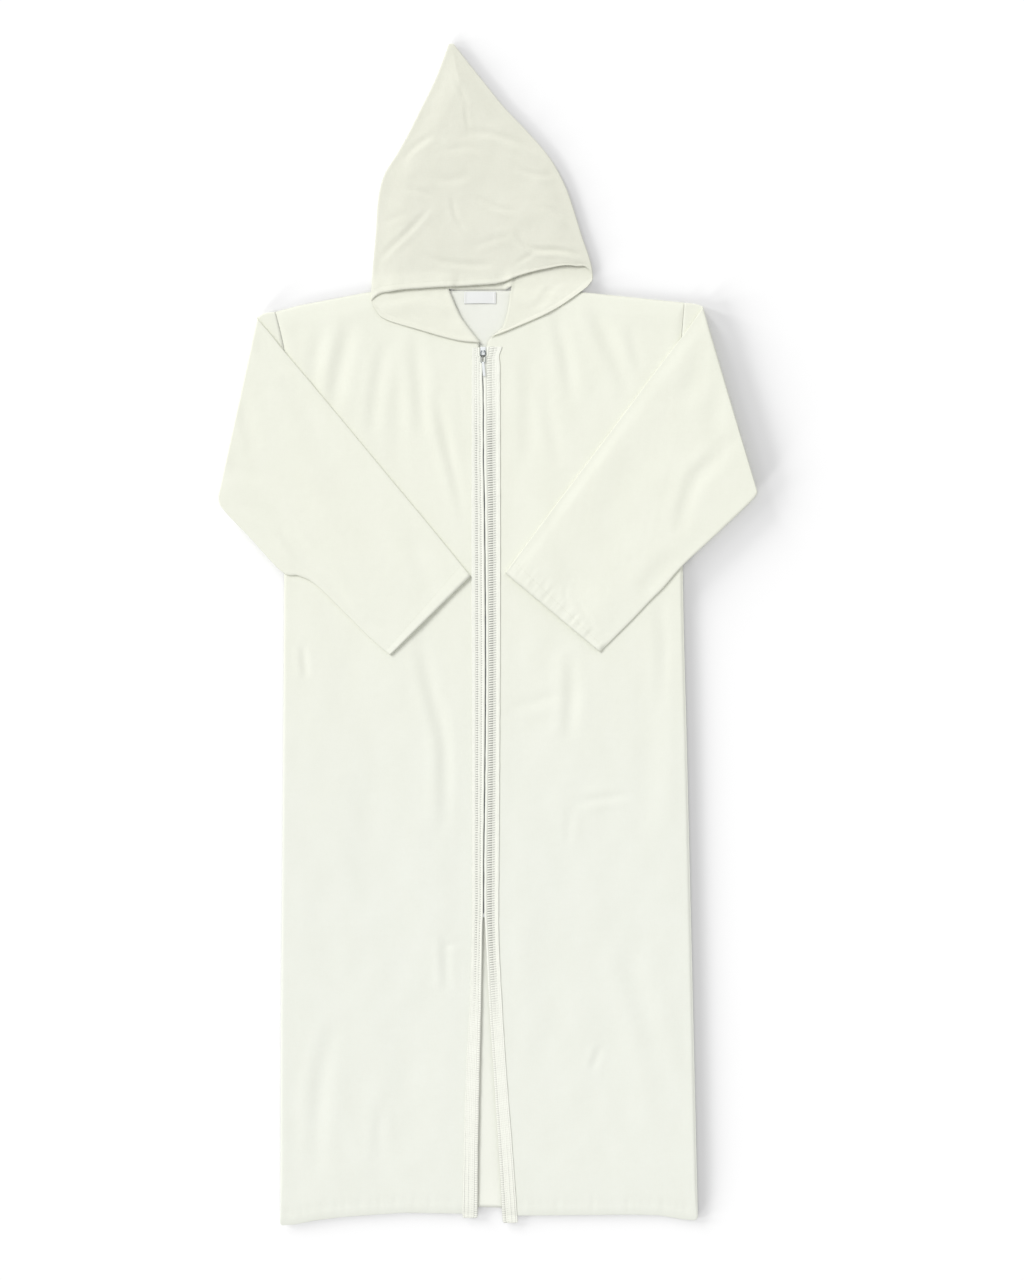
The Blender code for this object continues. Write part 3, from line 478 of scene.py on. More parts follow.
# %% Outline of the body
SIDES = ((-900.0, -314.5, 321.0), (-555.0, -313.1, 313.1), (-190.0, -310.1, 304.5),
         (100.0, -308.6, 297.8), (240.0, -308.6, 297.5), (440.0, -309.5, 295.0),
         (500.0, -324.0, 299.5))
HEM = ((-316.0, -899.0), (-292.0, -897.5), (-262.0, -891.5), (-219.0, -886.0),
       (-126.0, -879.5), (-39.0, -881.0), (52.0, -884.0), (222.0, -882.5), (262.0, -883.5),
       (296.0, -889.5), (320.0, -891.5))
TOP = ((-324.0, 490.2), (-284.0, 500.8), (-180.9, 520.6), (-58.5, 526.1), (-47.6, 499.3),
       (-38.0, 480.0), (-23.4, 460.6), (-6.0, 438.0), (-4.0, 438.0), (5.6, 451.0),
       (25.1, 468.0), (32.4, 497.0), (37.2, 530.0), (160.0, 519.1), (299.5, 504.8),
       (320.0, 504.0))
NECK_LEFT, NECK_RIGHT, BACK_NECK = -58.5, 37.2, 523.6
# y, then the braid bands' edges: left outer, left inner, right inner, right outer.
BANDS = ((-895.0, -37.5, -14.4, 23.9, 46.8), (-783.6, -35.0, -13.7, 17.8, 38.8),
         (-669.6, -31.9, -11.4, 10.2, 29.8), (-555.6, -25.8, -8.8, 2.6, 22.6),
         (-440.0, -22.8, -6.8, -3.0, 17.6), (-426.0, -22.6, -5.9, -4.2, 17.6),
         (-335.0, -22.7, -5.6, -4.1, 18.2), (-244.0, -22.8, -4.3, -2.8, 18.8),
         (-153.0, -23.0, -3.4, -1.9, 19.3), (-62.0, -23.2, -2.8, -1.3, 19.8),
         (30.0, -23.5, -3.1, -1.6, 20.1), (121.0, -23.6, -3.7, -2.3, 20.2),
         (212.0, -23.5, -4.7, -3.3, 20.1), (258.0, -23.4, -5.8, -4.6, 20.0),
         (349.0, -23.4, -6.1, -4.9, 19.9), (394.0, -23.3, -6.9, -5.7, 19.7),
         (420.6, -23.2, -6.7, -5.4, 19.6), (424.0, -23.1, -10.7, -1.3, 19.5),
         (438.0, -23.0, -10.9, -1.0, 19.5))
# The fronts' own edges part a little sooner than the bands that cover them.
FRONT_EDGES = BANDS[:-3] + ((421.0, 0.0, -10.8, -1.3, 0.0), (438.0, 0.0, -10.9, -1.0, 0.0))
FRONT_TUCK = 1.6               # how far a front goes under its band
CORNER = {"left": (5.0, -899.0), "right": (7.0, -891.5)}   # radius, and where it ends


def side_x(side, y):
    """Side edge at y, rounded off at the hem's corner."""
    radius, end = CORNER[side]
    inward = radius * (1 - rounded(y - end, radius))
    return glide(SIDES, y, 1 if side == "left" else 2) + (inward if side == "left" else -inward)


def centre_x(side, y):
    if side == "left":
        return straight(FRONT_EDGES, y, 2) - FRONT_TUCK
    return straight(FRONT_EDGES, y, 3) + FRONT_TUCK


# %% Folds of the front, listed one by one
FRONT_FOLDS = (
    (((-206, 478), (-222, 410), (-233, 340)), 13.3, 2.5),
    (((-153, 448), (-166, 380), (-175, 300)), 10.9, 1.6),
    (((-111, 462), (-103, 390), (-97, 300)), 11.7, 2),
    (((-132, 390), (-136, 255)), 12.5, 0.8),
    (((-79, 372), (-60, 290), (-42, 225), (-27, 165)), 9.4, 2.4),
    (((-43, 386), (-28, 315)), 7, 1.2),
    (((-250, 470), (-262, 400), (-262, 330)), 11.7, 1.3),
    (((103, 496), (119, 430), (132, 355)), 10.9, 2),
    (((153, 514), (184, 445), (219, 370)), 12.5, 2.3),
    (((216, 472), (233, 400)), 9.4, 1.1),
    (((85, 380), (98, 320), (111, 255)), 10.9, 1.1),
    (((60, 420), (64, 330), (58, 250)), 12.5, 0.9),
    (((-281, -15), (-278, -40), (-274, -66)), 6.2, 1.9),
    (((-102, -5), (-84, -90), (-65, -165), (-63, -300)), 10.9, 2.2),
    (((-64, -455), (-62, -500), (-60, -545)), 7.8, 1.6),
    (((-68, -475), (-46, -470), (-24, -463)), 5.5, 1.1),
    (((-231, -585), (-247, -650), (-256, -720), (-258, -812)), 13.3, 1.6),
    (((-162, -715), (-164, -755), (-161, -798)), 9.4, 0.9),
    (((-180, -200), (-186, -320), (-178, -430)), 24, 0.9),
    (((-130, -560), (-122, -680), (-128, -800)), 26, 0.8),
    (((128, -28), (129, -95), (124, -162)), 10.9, 1.9),
    (((124, -318), (125, -292), (127, -262)), 7, 0.7),
    (((132, -256), (172, -250), (219, -243)), 7, 0.8),
    (((26, -113), (72, -103), (118, -88)), 10.1, 0.8),
    (((173, -624), (166, -645), (158, -664)), 6.2, 1.1),
    (((208, -468), (235, -560), (257, -640), (267, -705)), 18, 1.3),
    (((240, -60), (246, -180), (238, -300)), 22, 0.9),
    (((88, -420), (96, -560), (90, -700)), 26, 0.8),
    (((262, 60), (270, -20), (266, -110)), 10.9, 1.1),
)
# How the upper face climbs in from each edge: distance and height.
SIDE_ROLL = {"left": ((0, 2.4), (0.8, 4.3), (2.4, 5.0), (5, 5.3), (10, 5.7), (18, 6.1),
                      (27, 6.2), (38, 5.8), (55, 5.2), (80, 5.2)),
             "right": ((0, 0.9), (0.8, 2.4), (2.4, 4.1), (5, 5.6), (10, 6.8), (18, 7.1),
                       (30, 6.6), (45, 5.8), (65, 5.2), (80, 5.2))}
ARMHOLE_RISE = ((0, 3.2), (2, 3.7), (6, 4.6), (14, 5.2), (80, 5.2))
HEM_RISE = ((0, 1.5), (3, 2.3), (6, 2.9), (11, 3.5), (30, 4.5), (70, 5.2), (90, 5.2))
TOP_RISE = ((0, 2.6), (3, 3.2), (8, 3.9), (25, 5.2), (40, 5.2))
ARMHOLE_RANGE = (398, 430)     # the side seam turns into the armhole between these
LEAST_FRONT = 2.6              # the front never dips below this, past its hem
HEM_DEEP, HEM_DOUBLE, HEM_GROOVE = 16.0, 0.45, 0.5
HEM_PUCKERS = ((0.28, 13.0, 14),)
NEAR_ZIP, CLEAR_OF_BAND = 18, (20, 30)
# Folds and swells fade out towards each edge: distances where they start and are whole.
CALM_SIDE, CALM_HEM, CALM_TOP, CALM_ZIP = (3, 30), (18, 70), (4, 34), (22, 54)
FRONT_SWELLS = ((0.30, 130, 92, 12, 11), (0.12, 60, 88, 22, 12), (0.03, 16, 60, 70, 13, 20))


def front_height(x, y):
    """Height of the front's upper face, in mm, at points of the plane."""
    x, y = np.asarray(x, float), np.asarray(y, float)
    from_left, from_right = x - side_x("left", y), side_x("right", y) - x
    from_hem, from_top = y - straight(HEM, x), straight(TOP, x) - y
    from_centre = np.maximum(centre_x("left", y) - x, x - centre_x("right", y))
    neck = ((x > NECK_LEFT) & (x < NECK_RIGHT)) | (from_centre < NEAR_ZIP)
    from_side = np.minimum(from_left, from_right)
    rolled = np.where(from_left < from_right, straight(SIDE_ROLL["left"], from_left),
                      straight(SIDE_ROLL["right"], from_right))
    sewn = ease(y, *ARMHOLE_RANGE)
    rolled = rolled * (1 - sewn) + straight(ARMHOLE_RISE, from_side) * sewn
    height = np.minimum(rolled, straight(HEM_RISE, from_hem))
    height = np.where(neck, height, np.minimum(height, straight(TOP_RISE, from_top)))
    calm = (ease(from_side, *CALM_SIDE) * ease(from_hem, *CALM_HEM)
            * np.where(neck, 1.0, ease(from_top, *CALM_TOP)) * ease(from_centre, *CALM_ZIP))
    relief = fold_relief(x, y, FRONT_FOLDS) + all_swells(x, y, FRONT_SWELLS)
    edge = turned_hem(x, from_hem, HEM_DEEP, HEM_DOUBLE, HEM_GROOVE, HEM_PUCKERS)
    height = height + calm * relief + edge * ease(from_centre, *CLEAR_OF_BAND)
    return np.maximum(height, np.minimum(LEAST_FRONT, straight(HEM_RISE, from_hem)))


# %% Two front panels
CELL = 3.9                     # size of one cell of cloth
PANEL_WIDE, PANEL_LONG = 300, 1400
FIT_ROUNDS, FIT_KEEP = 24, 0.6     # the outline is settled in small steps, so it can't swing


def make_front(side):
    """Rows run from the hem to the shoulder and neck, columns from the seam to the zip."""
    across = near_edges(PANEL_WIDE, CELL, (True, False))[None, :]
    up = near_edges(PANEL_LONG, CELL, (True, False))[:, None]
    x = np.zeros((len(up), across.shape[1])) + side_x(side, 0.0)
    y = np.zeros_like(x)
    for _ in range(FIT_ROUNDS):
        hem, top = straight(HEM, x), straight(TOP, x)
        y = hem + (top - hem) * up
        left, middle = side_x(side, y), centre_x(side, y)
        x = FIT_KEEP * x + (1 - FIT_KEEP) * (left + (middle - left) * across)
    grid = np.stack([x, y, front_height(x, y)], -1)
    return sew(side + "_front", [(grid, True)], cloth, "front_" + side)


left_front, left_front_area = make_front("left")
right_front, right_front_area = make_front("right")
print("front panels:", round(left_front_area, 3), round(right_front_area, 3), "square metres")

# %% [markdown]
# ## Back panel
# The back lies flat on the floor under everything. It shows in the open V of the neck and
# in the slit below the zip, seen from its inside. Its colour is painted a little cooler, as
# painted shade, and painted lighter towards the hem, as painted light in the shaded slit.

# %% Back panel
BACK_INSET, BACK_SHORTER, BACK_DOWN = 3.6, 11.0, 0.3
BACK_ROWS, BACK_COLUMNS, BACK_ROUNDS = 260, 110, 8
BACK_LOW, BACK_TOP, BACK_HIGH = 1.0, 1.15, 1.45    # its upper face, and how far that strays
BACK_SWELLS = ((0.10, 60, 90, 40, 21),)
BACK_HEM, BACK_RIDGE, BACK_RIDGE_WIDE = 15, 0.15, 2


def make_back():
    across = np.linspace(0, 1, BACK_COLUMNS)[None, :]
    up = np.linspace(0, 1, BACK_ROWS)[:, None]
    x, y = np.zeros((BACK_ROWS, BACK_COLUMNS)), np.zeros((BACK_ROWS, BACK_COLUMNS))
    for _ in range(BACK_ROUNDS):
        hem = straight(HEM, x) + BACK_SHORTER
        neck = (x > NECK_LEFT) & (x < NECK_RIGHT)
        top = np.where(neck, BACK_NECK, straight(TOP, x)) - BACK_DOWN
        y = hem + (top - hem) * up
        left, right = side_x("left", y) + BACK_INSET, side_x("right", y) - BACK_INSET
        x = left + (right - left) * across
    from_hem = y - straight(HEM, x) - BACK_SHORTER
    z = BACK_TOP + all_swells(x, y, BACK_SWELLS)
    z = z + BACK_RIDGE * bell(from_hem, BACK_HEM, BACK_RIDGE_WIDE)
    grid = np.stack([x, y, np.clip(z, BACK_LOW, BACK_HIGH)], -1)
    return sew("back_panel", [(grid, True)], inner_cloth, "back")


back_panel, back_area = make_back()

# %% [markdown]
# ## Sleeves
# A sleeve is a tube. Laid flat it is two layers, and here it is turned over at the elbow
# on to the front, so four layers lie there. It is drawn as the tube really runs: the
# outer layer comes out of the armhole along the floor, wraps round the elbow and goes
# back as the face that shows, and the inner layer follows inside the turn. Four grids
# share their edges and are sewn into one open tube, with its hem at the cuff.

# %% Shape of the sleeves
# Upper edge x, y and underarm edge x, y of sections from the elbow to the cuff.
SLEEVES = {
    "left": ((-349.6, 481.1, -408.9, 212.0), (-342.5, 472.6, -402.8, 192.3),
             (-323.8, 450.7, -360.2, 146.7), (-309.5, 432.4, -311.6, 95.0),
             (-269.0, 384.4, -285.8, 88.9), (-215.8, 320.6, -259.9, 75.2),
             (-147.4, 237.9, -218.9, 35.7), (-86.6, 164.9, -177.8, -5.3),
             (-24.8, 88.9, -147.4, -31.2)),
    "right": ((328.3, 497.8, 410.4, 219.6), (323.8, 490.6, 405.8, 207.0),
              (316.4, 480.4, 354.2, 157.3), (306.5, 465.9, 298.6, 105.6),
              (255.4, 399.0, 269.0, 72.2), (202.2, 327.6, 247.8, 50.9),
              (141.4, 246.2, 223.4, 25.1), (80.6, 164.9, 197.6, -0.8),
              (27.4, 93.5, 171.8, -26.6))}
# The same sections from the elbow back to the armhole, under the part that shows.
ARMHOLE_RUN = {
    "left": ((-349.6, 481.1, -408.9, 212.0), (-346.6, 484.6, -396.0, 204.0),
             (-340.0, 488.0, -372.0, 188.0), (-332.0, 489.8, -345.0, 169.0),
             (-324.2, 490.4, -312.0, 150.0)),
    "right": ((328.3, 497.8, 410.4, 219.6), (325.4, 500.2, 397.0, 210.0),
              (319.0, 502.2, 372.0, 192.0), (310.0, 503.7, 336.0, 170.0),
              (300.0, 504.3, 301.5, 150.0))}
SLEEVE_FOLDS = {
    "left": (
        (((-372, 202), (-340, 184), (-311, 163), (-281, 121), (-243, 84), (-207, 28),
          (-160, 2)), 11, 2.1),
        (((-381, 356), (-366, 320), (-347, 284)), 13, 1.5),
        (((-308, 394), (-280, 350), (-254, 302)), 17, 1.1),
        (((-398, 262), (-370, 246), (-340, 236)), 12, 1.0),
        (((-352, 452), (-330, 420), (-300, 396)), 12, 1.0),
        (((-240, 250), (-190, 180), (-140, 110)), 24, 0.9),
        (((-120, 150), (-98, 100), (-84, 60)), 14, 0.8),
        (((-330, 330), (-300, 240), (-262, 180)), 26, 0.8)),
    "right": (
        (((362, 286), (351, 270), (320, 240), (309, 215), (299, 185), (295, 150)), 12, 1.8),
        (((395, 300), (372, 290), (350, 296)), 12, 1.0),
        (((330, 440), (318, 396), (296, 350)), 16, 1.1),
        (((250, 300), (214, 238), (170, 170)), 24, 0.9),
        (((290, 120), (262, 96), (236, 60)), 14, 1.0),
        (((100, 150), (128, 100), (150, 60)), 18, 0.8),
        (((352, 380), (345, 330), (350, 300)), 16, 0.9),
        (((51, 112), (49, 98), (48, 86)), 3.4, 0.7),
        (((68, 96), (70, 82), (71, 68)), 3.4, 0.6),
        (((90, 84), (87, 66), (86, 52)), 4.0, 0.7),
        (((120, 76), (119, 62), (122, 44)), 3.6, 0.6),
        (((134, 58), (148, 32), (166, 6)), 4.6, 0.8))}
ELBOW_TURN = 4.9               # height of the fold line at the elbow
ELBOW_ROUND, ELBOW_TIGHT, ELBOW_RUN = 5.5, 1.5, 10   # outer layer, inner layer, and reach
TUBE_EDGE, TUBE_TOP, LOWER_EDGE = 4.2, 9.3, 2.6
PRESSED_EDGE, PRESSED_LOW = 0.8, 1.9   # the right sleeve's upper fold is pressed sharp, low
PRESSED_WIDE = 30
SLEEVE_WIDE, SLEEVE_WALL, RUN_CELL = 285, 0.9, 6.0
SLEEVE_LEAST, SLEEVE_OPEN = 5.0, 2.2   # lowest underside, and least height inside the tube
FLOOR_GAP = 0.15
RUN_HEIGHT = 2.2               # middle of the two layers that run on to the armhole
CRESTS = {"left": (4.6, -0.9), "right": (3.2, 1.3)}   # their top, and its change on the way
INNER_IN, INNER_FADE = 2.5, 8  # how far the inner layer turns before the outer one
CALM_EDGE, CALM_ELBOW = (2, 22), (3, 24)
SLEEVE_SWELLS = {
    "left": ((0.30, 120, -52, 16, 31), (0.12, 52, -50, 30, 32), (0.04, 15, 0, 80, 33, 20)),
    "right": ((0.30, 120, 48, 16, 37), (0.12, 52, 50, 30, 38), (0.04, 15, 0, 80, 39, 20))}
CUFF_DEEP, CUFF_DOUBLE, CUFF_WIDE = 14.0, 0.45, 175.0
# Each cuff: groove of its stitches, lift of its edge, and its puckers.
CUFFS = {"left": (0.55, 1.3, ((0.26, 12.0, 31), (0.10, 7.1, 36))),
         "right": (0.9, 0.7, ((0.42, 12.0, 37), (0.34, 7.1, 42)))}
CUFF_LIFT_REACH = 12
RAISED_CORNER = (1.6, 168, 8, -18, 7)  # of the right cuff: height, then x, width, y, width


def soft_over(base, extra):
    """base plus what sticks out above it, with no hard corner where extra turns negative."""
    return base + 0.5 * (extra + np.sqrt(extra ** 2 + 0.8))


def with_height(spot, height):
    """A grid from its points in the plane and their heights."""
    return np.concatenate([spot, height[..., None]], -1)


def stations_of(sections, step, across):
    """Fair outline through sections: points of a grid and their distances to its edges."""
    rows = [((a + c) / 2, (b + d) / 2, a, b, c, d) for a, b, c, d in sections]
    rough = np.array([row[:2] for row in rows])
    length = float(np.hypot(*np.diff(rough, axis=0).T).sum())
    shares = near_edges(length, step, (True, False))
    line = fair_curve(rows, shares)
    upper, under = line[:, 2:4], line[:, 4:6]
    width = np.hypot(*(upper - under).T)
    points = under[None] + (upper - under)[None] * across[:, None, None]
    from_edge = np.minimum(across[:, None], 1 - across[:, None]) * width[None]
    from_start = shares[None] * length + 0 * from_edge
    return points, from_edge, from_start, length


def folded_part(side, across):
    """The two layers that lie over the front, the way across the tube, and the distance
    from the cuff."""
    spot, from_edge, from_elbow, length = stations_of(SLEEVES[side], CELL, across)
    x, y = spot[..., 0], spot[..., 1]
    from_cuff = length - from_elbow
    low = np.maximum(SLEEVE_LEAST, front_height(x, y) + TOUCH)
    relief = fold_relief(x, y, SLEEVE_FOLDS[side]) + all_swells(x, y, SLEEVE_SWELLS[side])
    groove, rise, ripples = CUFFS[side]
    run = across[:, None] * CUFF_WIDE + 0 * x
    hem = turned_hem(run, from_cuff, CUFF_DEEP, CUFF_DOUBLE, groove, ripples)
    lift = rise * np.exp(-from_cuff / CUFF_LIFT_REACH)
    crown, edge_radius = TUBE_TOP, TUBE_EDGE
    if side == "right":
        tall, at_x, wide, at_y, deep = RAISED_CORNER
        lift = lift + tall * bell(x, at_x, wide) * bell(y, at_y, deep)
        from_upper = (1 - across[:, None]) * SLEEVE_WIDE
        crown = TUBE_TOP - PRESSED_LOW * (1 - ease(from_upper, 0, PRESSED_WIDE))
        edge_radius = np.where((across > 0.5)[:, None], PRESSED_EDGE, TUBE_EDGE)
    calm = ease(from_edge, *CALM_EDGE) * ease(from_elbow, *CALM_ELBOW)
    puff = crown - low - SLEEVE_OPEN + calm * relief
    full = soft_over(low + SLEEVE_OPEN, puff) + hem + lift
    middle = ELBOW_TURN + ((low + full) / 2 - ELBOW_TURN) * ease(from_elbow, 0, ELBOW_RUN)
    swell = rounded(from_edge, edge_radius)
    over = middle + (full - middle) * swell * rounded(from_elbow, ELBOW_ROUND)
    under = middle - (middle - low) * swell
    under = ELBOW_TURN + (under - ELBOW_TURN) * rounded(from_elbow, ELBOW_TIGHT)
    along = spot[:, 1:2] - spot[:, :1]
    along = along / np.maximum(np.linalg.norm(along, axis=-1, keepdims=True), 1e-9)
    turn_in = INNER_IN * rounded(from_edge, TUBE_EDGE) * (1 - from_elbow / length)
    inner = spot + along * (turn_in * np.exp(-from_elbow / INNER_FADE))[..., None]
    return with_height(spot, over), with_height(inner, under), along, from_cuff


def armhole_part(side, across, along):
    """The two layers that run on from the elbow to the armhole."""
    spot, from_edge, from_elbow, length = stations_of(ARMHOLE_RUN[side], RUN_CELL, across)
    along_run = (from_elbow / length) ** 2
    sewn_to = side_x(side, spot[:, -1, 1]) + (-0.3 if side == "left" else 0.3)
    spot[..., 0] += (sewn_to - spot[:, -1, 0])[:, None] * along_run
    middle = ELBOW_TURN + (RUN_HEIGHT - ELBOW_TURN) * ease(from_elbow, 0, ELBOW_RUN)
    swell = rounded(from_edge, LOWER_EDGE)
    low = middle - (middle - FLOOR_GAP) * swell * rounded(from_elbow, ELBOW_ROUND)
    crest, change = CRESTS[side]
    top = middle + (crest + change * along_run - middle) * swell
    top = ELBOW_TURN + (top - ELBOW_TURN) * rounded(from_elbow, ELBOW_TIGHT)
    turn_in = INNER_IN * swell * np.exp(-from_elbow / INNER_FADE) * (1 - from_elbow / length)
    inner = spot + along[:, :1] * turn_in[..., None]
    return with_height(inner, top), with_height(spot, low)


def make_sleeve(side):
    across = near_edges(SLEEVE_WIDE, CELL)
    shown, hidden, along, from_cuff = folded_part(side, across)
    top, low = armhole_part(side, across, along)
    grids = [(shown, True), (hidden, False), (top, True), (low, False)]
    made, area = sew(side + "_sleeve", grids, cloth, "sleeve_" + side, wall=SLEEVE_WALL)
    print(side, "sleeve: cloth all round", round(area, 3), "square metres")
    return made, area, shown, from_cuff


left_sleeve, left_sleeve_area, left_face, left_from_cuff = make_sleeve("left")
right_sleeve, right_sleeve_area, right_face, right_from_cuff = make_sleeve("right")

# %% [markdown]
# ## Hood and lapels
# The hood is a cone with a fold down each side. Its upper layer ends at the rim of the
# face opening. Its under layer goes on to the neck seam, and on each side past it as a
# lapel that lies over the front down to the zip. Both layers and both lapels are grids
# that share the two folds, so the hood is one piece of cloth as it is when sewn.

# %% Shape of the hood
HOOD = ((-58.0, 898.5, -51.0, 898.5), (-68.4, 870.2, -28.9, 870.2),
        (-80.6, 839.8, -4.6, 839.8), (-101.8, 797.2, 27.4, 800.3),
        (-120.1, 760.8, 62.3, 763.8), (-135.3, 733.4, 95.8, 724.3),
        (-156.6, 698.4, 118.6, 683.2), (-165.7, 660.4, 132.2, 645.2),
        (-168.7, 614.9, 144.4, 605.7), (-173.3, 561.6, 155.0, 575.3),
        (-175.6, 530.0, 159.6, 557.1), (-176.3, 506.9, 161.1, 543.4))
UPPER_RIM = ((-176.3, 506.9), (-168.7, 514.5), (-144.4, 521.2), (-95.8, 526.1),
             (-23.4, 530.5), (25.1, 535.8), (49.2, 545.4), (85.7, 555.1), (134.1, 560.0),
             (157.2, 551.5), (161.1, 543.4))
LOWER_RIMS = {"left": ((-172.5, 498.0), (-156.6, 480.0), (-108.2, 464.2), (-47.6, 447.3),
                       (-9.5, 443.0)),
              "right": ((159.4, 537.0), (146.2, 523.6), (97.7, 491.0), (37.2, 464.0),
                        (5.6, 452.0))}
NECK_SEAMS = {"left": ((-58.5, 526.1), (-47.6, 499.3), (-38.0, 480.0), (-23.4, 460.6),
                       (-9.5, 443.0)),
              "right": ((37.2, 530.0), (32.4, 497.0), (25.1, 468.0), (5.6, 452.0))}
HOOD_FOLDS = (
    (((-131, 722), (-105, 745), (-78, 761)), 5.6, 1.4),
    (((-35, 762), (0, 762), (31, 753), (78, 735)), 5.6, 1.6),
    (((-34, 806), (-27, 764)), 3.7, 0.7),
    (((-79, 734), (-36, 739), (6, 736)), 5.1, 0.8),
    (((35, 711), (79, 698), (116, 702)), 4.6, 1.2),
    (((-122, 680), (-83, 665)), 4.6, 1.3),
    (((-22, 668), (12, 650), (46, 643)), 4.6, 1.4),
    (((-54, 664), (-46, 632), (-31, 615)), 3.7, 1.5),
    (((83, 654), (111, 638), (138, 623)), 4.6, 1.4),
    (((42, 614), (56, 596), (74, 585), (114, 583), (154, 573)), 4.6, 2.4),
    (((-170, 564), (-146, 588), (-120, 612), (-86, 649)), 4.6, 1.8),
    (((-162, 625), (-122, 641)), 5.1, 0.8),
    (((-102, 578), (-65, 566), (-23, 562), (14, 563)), 5.1, 1.5),
    (((43, 563), (74, 581)), 4.1, 1.1),
    (((-20, 590), (10, 600), (36, 604)), 5.1, 0.9),
    (((-98, 700), (-60, 690), (-24, 700)), 6.0, 0.8),
    (((-52, 850), (-40, 830), (-30, 805)), 4.1, 0.7),
)
HOOD_PUFF, PUFF_REACH = 4.6, 45    # how far the upper layer stands off the under layer
HOOD_OPEN, HOOD_EDGE, TIP_ROUND = 2.4, 3.4, 5.0
HOOD_WIDE, HOOD_LONG, HOOD_CELL = 330, 372.0, 3.7
HOOD_SWELLS = ((0.36, 95, 10, 30, 41), (0.17, 38, 20, 45, 42), (0.05, 14, 30, 80, 43, 20))
CALM_FOLD, CALM_TIP = (2, 20), (4, 40)
RIM_DEEP, RIM_DOUBLE, RIM_GROOVE = 11.0, 0.5, 0.5     # turned hem of the face opening
RIM_PUCKERS = ((0.25, 12.0, 44),)
RIM_LIFT, RIM_SINK = (0.3, 10), (1.9, 30)   # height and reach of the rim's edge and slope
BEND_ROWS = 4                  # the last rows bend towards the rim
NECK_LIP, NECK_SLOPE, NECK_CORNER = 2.4, 0.04, 9
CLIMB_START, CLIMB_RUN, NECK_RUN = 30, 29, 14    # how the hood climbs on to the fronts
LEAST_LAPEL = 3.4
LAPEL_STEPS, LAPEL_DROP, LAPEL_CLEAR = 25, 5, 12
LAPEL_HEM, LAPEL_ROLL = (9.5, 0.45, 0.4, (), 1.4), (0.9, 7)
# Each lapel: its swells, how far it stands off the front, and its fold.
LAPELS = {"left": (((0.25, 40, 20, 25, 45),), 0.4,
                   ((((-100, 521), (-76, 510), (-54, 501)), 6, 1.2),)),
          "right": (((0.25, 40, 160, 25, 45),), 0.5,
                    ((((122, 553), (98, 528), (82, 505), (66, 498)), 6, 1.6),))}


def hood_floor(x, y):
    """Height of the under layer's lower face: on the floor, or up on the fronts."""
    neck_top = BACK_NECK + NECK_LIP + (x - NECK_LEFT) * NECK_SLOPE
    shoulder = np.where((x > NECK_LEFT) & (x < NECK_RIGHT), neck_top, straight(TOP, x))
    climb = np.clip((shoulder + CLIMB_START - y) / CLIMB_RUN, 0, 1)
    into_neck = np.minimum(x - NECK_LEFT, NECK_RIGHT - x)
    inside = (into_neck > 0) & (y > BACK_NECK - 1)
    climb = climb * np.where(inside, np.clip(1 - into_neck / NECK_RUN, 0, 1), 1.0)
    onto = np.maximum(LEAST_LAPEL, front_height(x, np.minimum(y, shoulder)) + TOUCH)
    return FLOOR_GAP + (onto - FLOOR_GAP) * ease(climb, 0, 1)


def hood_outline(across):
    """The upper and under layers in the plane, their distance from the tip and from the
    side folds."""
    rows = [((a + c) / 2, (b + d) / 2, a, b, c, d, k) for k, (a, b, c, d) in enumerate(HOOD)]
    shares = near_edges(HOOD_LONG, HOOD_CELL, (True, False))
    line = fair_curve(rows, shares)
    left, right, index = line[:, 2:4], line[:, 4:6], line[:, 6]
    over = left[:, None] + (right - left)[:, None] * across[None, :, None]
    under = over.copy()
    last = over[-1].copy()
    from_fold = np.minimum(across, 1 - across)[None] * np.hypot(*(right - left).T)[:, None]
    from_tip = shares[:, None] * HOOD_LONG + 0 * from_fold
    bend = np.clip((index - (len(HOOD) - 1 - BEND_ROWS)) / BEND_ROWS, 0, 1)[:, None] ** 2
    over[..., 1] += bend * (glide(UPPER_RIM, last[:, 0]) - last[:, 1])[None]
    neck_end = BACK_NECK + 0.4
    neck_row = (HOOD[-1][:2], (NECK_LEFT, 526.1), (NECK_LEFT + NECK_CORNER, neck_end),
                (NECK_RIGHT - NECK_CORNER, neck_end), (NECK_RIGHT, 530.0), HOOD[-1][2:])
    under[..., 1] += bend * (straight(neck_row, last[:, 0]) - last[:, 1])[None]
    return over, under, from_tip, from_fold


